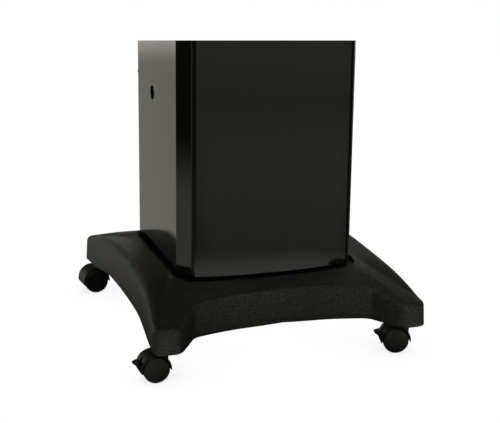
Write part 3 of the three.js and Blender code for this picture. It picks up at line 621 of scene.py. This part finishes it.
def caster_wheel(side, trail):
    """A wheel with a flat tread, a rounded shoulder and a slightly domed face with a shallow turned step.

    Its side is 1 for the wheel towards +Y and -1 for the other."""
    inner, outer, r = WHEEL_INNER, WHEEL_OUTER, WHEEL_RADIUS
    profile = [
        (0, inner + 13),
        (3.3, inner + 13),
        (3.3, inner),
        (9, inner),
        (9.6, inner + 0.4),
        (21, inner + 0.4),
        (r - 1.5, inner),
        (r - 0.4, inner + 0.5),
        (r, inner + 1.6),
        (r, outer - 3.2),
        (r - 0.25, outer - 1.9),
        (r - 0.9, outer - 1.0),
        (r - 1.9, outer - 0.45),
        (r - 3.0, outer - 0.25),
        (r - 3.2, outer - 0.3),
        (r - 3.5, outer - 0.15),
        (16, outer + 0.2),
        (9, outer + 0.45),
        (3, outer + 0.55),
        (0, outer + 0.55),
    ]
    wheel = moved(revolve(profile, 72), Matrix.Rotation(math.radians(side * -90), 4, "X"))
    return moved(wheel, Matrix.Translation((-trail, 0, WHEEL_RADIUS)))


def caster_stem():
    profile = [
        (0, 44), (4.9, 44), (5.5, 44.6), (5.5, 60.3), (8.6, 60.3), (9, 60.7), (9, 62.9), (8.6, 63.3),
        (5.5, 63.3), (5.5, 97), (3.5, 99), (0, 99),
    ]
    return revolve(profile, 32)


def caster_axle(trail):
    axle = moved(rod(AXLE_RADIUS, -AXLE_HALF, AXLE_HALF, 24, 0.5), ALONG_Y)
    return moved(axle, Matrix.Translation((-trail, 0, WHEEL_RADIUS)))


def brake_lever(trail):
    """A wedge-shaped pad on an arm with a hub and a cross pin, drawn round its pivot."""
    pad = trace((-9.3, 4.9), [(-15, 3.2), (-19.2, 1.2)], [(-20.1, 0.5), (-19.2, -0.8)], steps=5)
    pad += trace((-15.5, -3.6), [(-12.6, -6.2), (-11.4, -6.8)], [(-10.2, -5.2), (-9.6, -3)], steps=4)
    arm = [(0, -3), (-12, -3.2), (-12, 3.6), (0, 3)]
    hub = moved(rod(LEVER_HUB_RADIUS, -LEVER_ARM_HALF, LEVER_ARM_HALF, 24, 0.3), ALONG_Y)
    pin = moved(rod(LEVER_PIN_RADIUS, -LEVER_PIN_HALF, LEVER_PIN_HALF, 20, 0.3), ALONG_Y)
    wedge = soften(prism(pad, -LEVER_PAD_HALF, LEVER_PAD_HALF, "XZ"), 0.7, 3, 40)
    plate = soften(prism(arm, -LEVER_ARM_HALF, LEVER_ARM_HALF, "XZ"), 0.4, 2, 40)
    lever = join(wedge, plate, hub, pin)
    pivot = Vector((LEVER_PIVOT.x - trail, 0, LEVER_PIVOT.y + WHEEL_RADIUS))
    return moved(lever, Matrix.Translation(pivot))


def add_caster(place):
    to_place, trail = caster_place(place)
    has_brake = f"brake_{place}" in JOINTS
    swivel, wheels = f"swivel_{place}", f"wheels_{place}"

    def add(name, bm, material, body, node):
        add_piece(f"{name}_{place}", moved(bm, to_place), material, body, node, sharp=32)

    add("stem", caster_stem(), ZINC, "lectern", f"caster_stem_{place}")
    add("hood", caster_hood(trail, has_brake), NYLON, swivel, f"caster_hood_{place}")
    add("axle", caster_axle(trail), ZINC, wheels, f"caster_axle_{place}")
    outward = -1 if "front" in place else 1
    add("outer_wheel", caster_wheel(outward, trail), NYLON, wheels, f"caster_wheel_{place}_outer")
    add("inner_wheel", caster_wheel(-outward, trail), NYLON, wheels, f"caster_wheel_{place}_inner")
    if has_brake:
        add("brake_pedal", brake_lever(trail), NYLON, f"brake_{place}", f"brake_lever_{place}")


for caster in PLACES:
    add_caster(caster)


# ---- Column -------------------------------------------------------------------------------------------

COLUMN_X = 177
COLUMN_FRONT_Y, COLUMN_REAR_Y = -117.5, 167
COLUMN_BOTTOM_Z, COLUMN_TOP_Z = 142, 998
SHEET = 2
BEND_RADIUS = 2.4
FLANGE_X, STOP_X = 153, 155  # inner edges of the front flange and of the door stop
STOP_Y = 146
CABLE_HOLE_Y, CABLE_HOLE_Z, CABLE_HOLE_RADIUS = 55, 469, 14
CABLE_HOLE_EDGE = 0.9  # its outer edge is eased by this much
COVER_BOTTOM_Z = 156


def side_panel(side):
    """A bent sheet: a round bend at the front edge, a flange inside it and a strip that stops the door."""
    x, front, rear = COLUMN_X, COLUMN_FRONT_Y, COLUMN_REAR_Y
    inner = x - SHEET
    outline = [(x, rear)]
    outline += arc((x - BEND_RADIUS, front + BEND_RADIUS), BEND_RADIUS, 0, -90, 5)
    outline += [(FLANGE_X, front), (FLANGE_X, front + SHEET)]
    outline += [(inner, front + SHEET), (inner, STOP_Y), (STOP_X, STOP_Y), (STOP_X, STOP_Y + SHEET)]
    outline += [(inner, STOP_Y + SHEET), (inner, rear)]
    points = [(side * px, py) for px, py in outline]
    panel = soften(prism(points, COLUMN_BOTTOM_Z, COLUMN_TOP_Z), 0.35, 2, 60)
    if side > 0:
        return panel
    narrow, wide = CABLE_HOLE_RADIUS, CABLE_HOLE_RADIUS + CABLE_HOLE_EDGE
    low, begin, high = x - 7, x - 0.8, x + 3
    end = begin + CABLE_HOLE_EDGE
    profile = [(0, low), (narrow, low), (narrow, begin), (wide, end), (wide, high), (0, high)]
    hole = moved(revolve(profile, 48), Matrix.Rotation(math.radians(-90), 4, "Y"))
    return combine(panel, moved(hole, Matrix.Translation((0, CABLE_HOLE_Y, CABLE_HOLE_Z))))


def front_cover():
    """A bowed cover with rounded corners and canted returns, in plan."""
    edge_x, edge_y = COLUMN_X + 0.5, COLUMN_FRONT_Y - 1
    half = trace(
        (edge_x, edge_y),
        [(160, -154.2)],
        [(157.3, -160.2), (150.5, -161.9)],
        [(76, -177), (0, -177)],
        steps=14,
    )
    inner = trace(
        (0, -174),
        [(76, -174), (150, -159)],
        [(154.6, -158.2), (156.6, -153.6)],
        [(edge_x - 3.4, edge_y)],
        steps=14,
    )
    outline = half + [Vector((-p.x, p.y)) for p in half[-2::-1]]
    outline += [Vector((-p.x, p.y)) for p in inner[::-1]] + inner[1:]
    return soften(prism(outline, COVER_BOTTOM_Z, COLUMN_TOP_Z), 0.5, 2, 50)


add_piece("left_side_panel", side_panel(-1), PAINT, "lectern", "side_panel_left")
add_piece("right_side_panel", side_panel(1), PAINT, "lectern", "side_panel_right")
add_piece("bowed_front_cover", front_cover(), PAINT, "lectern", "front_cover", sharp=25)


# ---- Rear door ----------------------------------------------------------------------------------------

LOCK_HOLE_RADIUS = 9.8
PLUG_RADIUS, CAM_SIZE, KEYWAY_SIZE = 6, Vector((12, 2.5, 34)), Vector((1.6, 10, 7))
HINGE_LENGTH, HINGE_BORE_RADIUS = 133, 1.9
KNUCKLE_RADIUS, KNUCKLE_GAP = 2.8, 0.6
FRAME_LEAF_X, DOOR_LEAF_X, LEAF_THICK = -174.9, -173.1, 1
PIN_RADIUS, PIN_HEAD_RADIUS = 1.6, 3.7


def lock_place():
    """The middle of the lock, on the outer face of the door."""
    x, _, z = JOINTS["door_lock"]["pos_m"]
    return Vector((x / MM, COLUMN_REAR_Y, z / MM))


def hinge_place(z):
    x, y, _ = JOINTS["door_hinge"]["pos_m"]
    return Vector((x / MM, y / MM, z))


def rear_door():
    """A pan with rounded edges, open towards the cabinet, with a hole for the lock."""
    low, high = box_of("rear_door")
    outer = soften(block(low, high), 1.6, 4)
    hollow_low = (low.x + SHEET, low.y - 5, low.z + SHEET)
    hollow = block(hollow_low, (high.x - SHEET, high.y - SHEET, high.z - SHEET))
    hole = moved(rod(LOCK_HOLE_RADIUS, -40, 40, 40), Matrix.Translation(lock_place()) @ ALONG_Y)
    return combine(outer, hollow, hole)


def lock_housing():
    profile = [
        (6.3, -19), (9.2, -19), (9.5, -18.7), (9.5, 0.3), (12.2, 0.3), (12.5, 0.6), (12.5, 1.8), (11.4, 2.9),
        (7.6, 3), (6.3, 2.4),
    ]
    return moved(revolve(profile, 48), Matrix.Translation(lock_place()) @ ALONG_Y)


def lock_plug():
    """The plug, with a keyway in its face and an upright cam behind the door stop."""
    at, r = lock_place(), PLUG_RADIUS
    plug = revolve([(0, -23.5), (r, -23.5), (r, 3), (r - 0.5, 3.5), (0, 3.5)], 40)
    plug = moved(plug, Matrix.Translation(at) @ ALONG_Y)
    cam_low = Vector((at.x - CAM_SIZE.x / 2, STOP_Y - 3, at.z - 8))
    cam = soften(block(cam_low, cam_low + CAM_SIZE), 1.0, 3)
    keyway_low = Vector((at.x - KEYWAY_SIZE.x / 2, at.y - 4, at.z - KEYWAY_SIZE.z / 2))
    return combine(join(plug, cam), block(keyway_low, keyway_low + KEYWAY_SIZE))


def hinge_leaf(on_frame, centre_z):
    """A leaf with its round knuckles: two at the ends on the frame, and one between them on the door."""
    pivot = hinge_place(centre_z)
    half, inner, gap = HINGE_LENGTH / 2, HINGE_LENGTH / 6, KNUCKLE_GAP / 2
    knuckles = [(-half, -inner - gap), (inner + gap, half)] if on_frame else [(-inner + gap, inner - gap)]
    left = FRAME_LEAF_X if on_frame else DOOR_LEAF_X
    right = left + LEAF_THICK
    leaf = block((left, 153, centre_z - half), (right, COLUMN_REAR_Y - 0.15, centre_z + half))
    shapes = [soften(leaf, 0.2, 1)]
    for low, high in knuckles:
        shapes.append(moved(rod(KNUCKLE_RADIUS, low, high, 28, 0.3), Matrix.Translation(pivot)))
        shapes.append(block((left, COLUMN_REAR_Y - 2, centre_z + low), (right, pivot.y, centre_z + high)))
    bore = rod(HINGE_BORE_RADIUS, -half - 2, half + 2, 20)
    return combine(join(*shapes), moved(bore, Matrix.Translation(pivot)))


def hinge_pin(centre_z):
    """A pin with a domed head."""
    top, shank, head = HINGE_LENGTH / 2, PIN_RADIUS, PIN_HEAD_RADIUS
    profile = [
        (0, -top), (shank, -top), (shank, top + 0.3), (head - 0.2, top + 0.3), (head, top + 0.6),
        (head, top + 4.6), (head - 0.7, top + 5.7), (shank, top + 6), (0, top + 6),
    ]
    return moved(revolve(profile, 28), Matrix.Translation(hinge_place(centre_z)))


add_piece("door_pan", rear_door(), PAINT, "door", "rear_door")
add_piece("lock_body", lock_housing(), ZINC, "door", "lock_housing")
add_piece("key_plug", lock_plug(), ZINC, "lock", "lock_plug")
for level in ("lower", "upper"):
    low, high = box_of(f"hinge_frame_leaf_{level}")
    middle = (low.z + high.z) / 2
    add_piece(f"frame_leaf_{level}", hinge_leaf(True, middle), PAINT, "lectern", f"hinge_frame_leaf_{level}")
    add_piece(f"door_leaf_{level}", hinge_leaf(False, middle), PAINT, "door", f"hinge_door_leaf_{level}")
    add_piece(f"pin_{level}", hinge_pin(middle), PAINT, "lectern", f"hinge_pin_{level}")


# ---- Desk ---------------------------------------------------------------------------------------------

DESK_X, DESK_REAR_Y = 305, 225
DESK_CORNER, DESK_EDGE = 40, 9  # the rounding of the plan's corners and of the upper edge
DESK_BOTTOM_Z = 1001.2
DESK_LIP = 1.2  # the chamfer of the lower edge
DESK_WALL, DESK_ROOF = 4, 16.5
DESK_FRONT_Y, DESK_BOW = -245, 17
TILT = math.radians(14)
SLOPE_Y, SLOPE_Z = -235, 1172  # a point of the sloping top
BOARD_CENTRE = 258  # from that point, down the slope
BOARD_SIZE = Vector((556, 384, 14))
BOARD_GAP = 1
RECESS = 12
LEDGE_LOW, LEDGE_HIGH = Vector((-260, 4, 0.3)), Vector((260, 14, 20))  # from the board's lower edge
GROMMET_PLACE = Vector((200, -220, 0))  # from the middle of the board
GROMMET_HOLE_RADIUS = 18
TO_SLOPE = Matrix.Translation((0, SLOPE_Y, SLOPE_Z)) @ Matrix.Rotation(-TILT, 4, "X")
TO_BOARD = TO_SLOPE @ Matrix.Translation((0, BOARD_CENTRE, 0))
TO_GROMMET = TO_BOARD @ Matrix.Translation(GROMMET_PLACE)


def slope_z(y):
    return SLOPE_Z - math.tan(TILT) * (y - SLOPE_Y)


def desk_plan(inset):
    """The desk's outline from above, bowed in front, and drawn in by an inset."""
    x, rear = DESK_X - inset, DESK_REAR_Y - inset
    front = DESK_FRONT_Y + DESK_BOW + inset
    nose = DESK_FRONT_Y - DESK_BOW + inset
    r = DESK_CORNER - inset
    return trace(
        (-x + r, rear),
        [(-x, rear), (-x, rear - r)],
        [(-x, front + r)],
        [(-x, front), (-x + r, front - 4)],
        [(0, nose), (x - r, front - 4)],
        [(x, front), (x, front + r)],
        [(x, rear - r)],
        [(x, rear), (x - r, rear)],
        steps=12,
    )


def desk_shell():
    """A block with a rounded upper edge, hollow below, with a recess for the board and a grommet hole."""
    rings = [
        [(*p, DESK_BOTTOM_Z) for p in desk_plan(DESK_LIP)],
        [(*p, DESK_BOTTOM_Z + DESK_LIP) for p in desk_plan(0)],
    ]
    for degrees in range(0, 91, 15):
        angle = math.radians(degrees)
        plan = desk_plan(DESK_EDGE * (1 - math.cos(angle)))
        rings.append([(*p, slope_z(p.y) - DESK_EDGE * (1 - math.sin(angle))) for p in plan])
    shell, _ = skin(rings)
    inner_plan = desk_plan(DESK_WALL)
    cavity, _ = skin([
        [(*p, DESK_BOTTOM_Z - 2) for p in inner_plan],
        [(*p, slope_z(p.y) - DESK_ROOF) for p in inner_plan],
    ])
    half = BOARD_SIZE / 2 + Vector((BOARD_GAP, BOARD_GAP, 0))
    recess = moved(block((-half.x, -half.y, -RECESS), (half.x, half.y, 40)), TO_BOARD)
    hole = moved(rod(GROMMET_HOLE_RADIUS, -50, 30, 40), TO_GROMMET)
    for tool in (shell, cavity):
        bmesh.ops.recalc_face_normals(tool, faces=tool.faces)
    return combine(shell, cavity, recess, hole)


def reading_board():
    low = Vector((-BOARD_SIZE.x / 2, -BOARD_SIZE.y / 2, 0.3 - RECESS))
    return moved(soften(block(low, low + BOARD_SIZE), 1.8, 4), TO_BOARD)


def paper_stop():
    """A ledge with a rounded top edge."""
    edge = Vector((0, BOARD_SIZE.y / 2, 0))
    return moved(soften(block(edge + LEDGE_LOW, edge + LEDGE_HIGH), 3.2, 5), TO_BOARD)


def cable_grommet():
    profile = [
        (14.7, -18), (17.7, -18), (17.7, 0.3), (21.4, 0.3), (21.7, 0.7), (21.2, 1.8), (19.6, 2.5),
        (16.4, 2.6), (15.2, 2.2), (14.7, 1.2),
    ]
    return moved(revolve(profile, 48), TO_GROMMET)


add_piece("moulded_desk", desk_shell(), PEBBLE, "lectern", "desk_shell")
add_piece("laminate_board", reading_board(), BOARD, "lectern", "reading_board")
add_piece("paper_ledge", paper_stop(), BOARD, "lectern", "paper_stop")
add_piece("rubber_grommet", cable_grommet(), RUBBER, "lectern", "cable_grommet")


# ---- CAD nodes that stay ------------------------------------------------------------------------------

STAYING = {
    DULL_PAINT: [
        "front_inner_panel", "cabinet_floor", "cabinet_top", "fixed_shelf", "adjustable_shelf",
        "desk_base_plate",
    ],
    ZINC: ["base_frame", "desk_bracket_left", "desk_bracket_right"]
    + [f"column_bolt_{place}" for place in PLACES]
    + [f"shelf_clip_{end}_{side}" for end in ("front", "rear") for side in ("left", "right")],
}


WELD_DISTANCE, NODE_BEVEL = 0.00001, 0.0004  # metres


def finish_node(name, material):
    """Gives a CAD node a material and slightly rounded edges."""
    node = frame["nodes"][name]
    node.data.materials.clear()
    node.data.materials.append(material)
    weld = node.modifiers.new("weld", "WELD")
    weld.merge_threshold = WELD_DISTANCE
    bevel = node.modifiers.new("bevel", "BEVEL")
    bevel.width, bevel.segments = NODE_BEVEL, 2
    bevel.limit_method, bevel.angle_limit = "ANGLE", math.radians(30)
    bevel.harden_normals = False


for material, names in STAYING.items():
    for node_name in names:
        finish_node(node_name, material)


# ---- Studio -------------------------------------------------------------------------------------------

EYE = Vector((-0.8530, -2.5368, 1.0249))  # metres
YAW, PITCH, ROLL = math.radians(-18.78), math.radians(16.61), math.radians(0.72)


def camera():
    """The photograph's viewpoint, from in front and to the left, a little above."""
    data = bpy.data.cameras.new("camera")
    data.lens, data.sensor_width = 100, 36
    data.clip_end = 100
    ahead = Vector((-math.sin(YAW), math.cos(YAW), 0))
    right = Vector((math.cos(YAW), math.sin(YAW), 0))
    forward = ahead * math.cos(PITCH) - Vector((0, 0, math.sin(PITCH)))
    up = right.cross(forward)
    turned_right = right * math.cos(ROLL) + up * math.sin(ROLL)
    turned_up = up * math.cos(ROLL) - right * math.sin(ROLL)
    rotation = Matrix((turned_right, turned_up, -forward)).transposed().to_4x4()
    eye = bpy.data.objects.new("camera", data)
    eye.matrix_world = Matrix.Translation(EYE) @ rotation
    bpy.context.scene.collection.objects.link(eye)
    bpy.context.scene.camera = eye
    return eye


def stage_material(name):
    material = bpy.data.materials.new(name)
    material.use_nodes = True
    material.node_tree.nodes.clear()
    return material, material.node_tree


LIGHT_TINT = (1.03, 1.0, 0.88, 1)
HORIZON_GLOW = 0.02  # the least light of the floor and the sky
BACKDROP_BEARINGS = (-118, -42, 11)  # from, to, and how soft both sides are
BACKDROP_GLOW, BACKDROP_END = 1.1, (0.08, 0.20)  # the sines of the heights that it fades out between
WINDOW_DIRECTION = (0.72, 0.62, 0.31)  # a large soft light behind and to the right
WINDOW_GLOW, WINDOW_EDGE = 0.27, (0.68, 0.86)  # cosines of the angle from its middle
LAMP_DIRECTION = (-0.3, -0.62, 0.72)  # a large soft light in front and overhead
LAMP_GLOW, LAMP_EDGE = 0.8, (0.7, 0.95)
BACK_GLOW, BACK_REACH = 0.44, (2.9, 3.6)  # the floor behind turns into the backdrop at this reach, in metres
FRONT_BEARINGS = (74, 140, 10)  # a lit area in front of the object
FRONT_REACH, FRONT_GLOW = (0.5, 1.4), (0.25, 0.40)
DIP_REACH, DIP_GLOW = (2.25, 2.7, 0.35), -0.15  # a darker band across the floor in front
FLOOR_AREAS = (  # bearings and their softness, reach in metres, and the glow nearer and farther than that
    ((-55, 4, 10), (1.1, 1.9), (0.44, 0.0)),
    ((-3, 10, 3), (0.0, 1.0), (0.40, 0.40)),
    ((12, 74, 8), (1.2, 2.2), (0.1, 0.0)),
    ((40, 140, 10), (0.6, 0.9), (0.78, 0.0)),
)
BASE_SHADE = (0.33, 0.53)  # the floor is dark under the base, to this reach
FLOOR_HALF, FLOOR_Z = 30, -0.0005
CONTACT_DISTANCE, CONTACT_SHADE = 0.12, 0.80
CARD_DISTANCE = 0.5  # metres in front of the lens
CARD_LOW, CARD_HIGH, CARD_HALF_WIDTH = 0.0616, 0.0914, 0.108  # metres from the middle of the view
CARD_TOLERANCE = 0.0005


def smooth_range(tree, value, begin, end, low=0.0, high=1.0):
    """Low before one value, high after another, and smooth in between."""
    inputs = {"Value": value, "From Min": begin, "From Max": end, "To Min": low, "To Max": high}
    return add_node(tree, "ShaderNodeMapRange", inputs, interpolation_type="SMOOTHSTEP").outputs[0]


def tree_math(tree, operation, a, b=0.0):
    return add_node(tree, "ShaderNodeMath", {0: a, 1: b}, operation=operation).outputs[0]


def window(tree, value, begin, end, soft):
    """One between two values and zero outside them."""
    rise = smooth_range(tree, value, begin - soft, begin + soft)
    fall = smooth_range(tree, value, end - soft, end + soft, 1.0, 0.0)
    return tree_math(tree, "MULTIPLY", rise, fall)


def bearing_of(tree, vector):
    """The bearing in degrees: 0 to the left of the object, 90 in front of it and -90 behind it."""
    axes = add_node(tree, "ShaderNodeSeparateXYZ", {0: vector}).outputs
    minus_x = tree_math(tree, "MULTIPLY", axes["X"], -1.0)
    minus_y = tree_math(tree, "MULTIPLY", axes["Y"], -1.0)
    return tree_math(tree, "MULTIPLY", tree_math(tree, "ARCTAN2", minus_y, minus_x), 180 / math.pi)


def floor_glow(tree):
    """The floor's brightness in reflections: lit behind, at the left and in front, dark under the base."""
    place = add_node(tree, "ShaderNodeNewGeometry").outputs["Position"]
    bearing = bearing_of(tree, place)
    reach = add_node(tree, "ShaderNodeVectorMath", {0: place}, operation="LENGTH").outputs["Value"]

    def area(bearings, glow):
        return tree_math(tree, "MULTIPLY", window(tree, bearing, *bearings), glow)

    back = area(BACKDROP_BEARINGS, smooth_range(tree, reach, *BACK_REACH, BACK_GLOW, BACKDROP_GLOW))
    total = tree_math(tree, "ADD", back, HORIZON_GLOW)
    for bearings, reaches, glows in FLOOR_AREAS:
        glow = smooth_range(tree, reach, *reaches, *glows)
        total = tree_math(tree, "MAXIMUM", total, area(bearings, glow))
    dip = tree_math(tree, "MULTIPLY", window(tree, reach, *DIP_REACH), DIP_GLOW)
    glow = tree_math(tree, "ADD", smooth_range(tree, reach, *FRONT_REACH, *FRONT_GLOW), dip)
    total = tree_math(tree, "MAXIMUM", total, area(FRONT_BEARINGS, glow))
    return tree_math(tree, "MULTIPLY", total, smooth_range(tree, reach, *BASE_SHADE))


def floor():
    """A white floor with soft contact shadows to the eye, and areas of light to reflections."""
    bm = bmesh.new()
    bmesh.ops.create_grid(bm, x_segments=1, y_segments=1, size=FLOOR_HALF)
    mesh = to_mesh("floor", bm)
    plane = bpy.data.objects.new("floor", mesh)
    plane.location.z = FLOOR_Z
    bpy.context.scene.collection.objects.link(plane)
    material, tree = stage_material("floor")
    mesh.materials.append(material)
    contact = add_node(tree, "ShaderNodeAmbientOcclusion", {"Distance": CONTACT_DISTANCE}, samples=12)
    shade = smooth_range(tree, contact.outputs["AO"], 0.0, 0.9, CONTACT_SHADE, 1.0)
    seen = add_node(tree, "ShaderNodeLightPath").outputs["Is Camera Ray"]
    reflected = add_node(tree, "ShaderNodeEmission", {"Strength": floor_glow(tree), "Color": LIGHT_TINT})
    direct = add_node(tree, "ShaderNodeEmission", {"Strength": shade})
    both = add_node(tree, "ShaderNodeMixShader", {0: seen, 1: reflected.outputs[0], 2: direct.outputs[0]})
    add_node(tree, "ShaderNodeOutputMaterial", {"Surface": both.outputs[0]})


def sky():
    """White to the eye. As a light it is a lamp in front, and a low backdrop and a window behind."""
    world = bpy.data.worlds.new("studio")
    bpy.context.scene.world = world
    world.use_nodes = True
    tree = world.node_tree
    tree.nodes.clear()
    direction = add_node(tree, "ShaderNodeTexCoord").outputs["Generated"]
    height = add_node(tree, "ShaderNodeSeparateXYZ", {0: direction}).outputs["Z"]

    def disc(middle, edge, low, high):
        inputs = {0: direction, 1: middle}
        towards = add_node(tree, "ShaderNodeVectorMath", inputs, operation="DOT_PRODUCT").outputs["Value"]
        return smooth_range(tree, towards, *edge, low, high)

    lamp = disc(LAMP_DIRECTION, LAMP_EDGE, HORIZON_GLOW, LAMP_GLOW)
    low = smooth_range(tree, height, *BACKDROP_END, BACKDROP_GLOW, 0.0)
    backdrop = tree_math(tree, "MULTIPLY", window(tree, bearing_of(tree, direction), *BACKDROP_BEARINGS), low)
    right = disc(WINDOW_DIRECTION, WINDOW_EDGE, 0.0, WINDOW_GLOW)
    glow = tree_math(tree, "ADD", tree_math(tree, "ADD", lamp, backdrop), right)
    seen = add_node(tree, "ShaderNodeLightPath").outputs["Is Camera Ray"]
    light = add_node(tree, "ShaderNodeBackground", {"Strength": glow, "Color": LIGHT_TINT})
    white = add_node(tree, "ShaderNodeBackground", {"Strength": 1.0, "Color": (1, 1, 1, 1)})
    both = add_node(tree, "ShaderNodeMixShader", {0: seen, 1: light.outputs[0], 2: white.outputs[0]})
    add_node(tree, "ShaderNodeOutputWorld", {"Surface": both.outputs[0]})


def crop_card(eye):
    """A white card close to the lens that hides the top of the picture, where the photograph is cut.

    It shows only to the eye, and only from exactly this distance, so no other view has it."""
    mesh = bpy.data.meshes.new("crop_card")
    low, high, half = CARD_LOW, CARD_HIGH, CARD_HALF_WIDTH
    corners = [(-half, low), (half, low), (half, high), (-half, high)]
    mesh.from_pydata([(x, y, -CARD_DISTANCE) for x, y in corners], [], [(0, 1, 2, 3)])
    card = bpy.data.objects.new("crop_card", mesh)
    card.matrix_world = eye.matrix_world
    bpy.context.scene.collection.objects.link(card)
    for kind in ("diffuse", "glossy", "transmission", "shadow", "volume_scatter"):
        setattr(card, f"visible_{kind}", False)
    material, tree = stage_material("crop_card")
    mesh.materials.append(material)
    depth = add_node(tree, "ShaderNodeCameraData").outputs["View Z Depth"]
    miss = tree_math(tree, "ABSOLUTE", tree_math(tree, "SUBTRACT", depth, CARD_DISTANCE))
    here = tree_math(tree, "LESS_THAN", miss, CARD_TOLERANCE)
    clear = add_node(tree, "ShaderNodeBsdfTransparent")
    white = add_node(tree, "ShaderNodeEmission", {"Strength": 1.0})
    both = add_node(tree, "ShaderNodeMixShader", {0: here, 1: clear.outputs[0], 2: white.outputs[0]})
    add_node(tree, "ShaderNodeOutputMaterial", {"Surface": both.outputs[0]})


eye = camera()
floor()
sky()
crop_card(eye)

scene = bpy.context.scene
scene.view_settings.view_transform = "Standard"
scene.view_settings.look = "None"
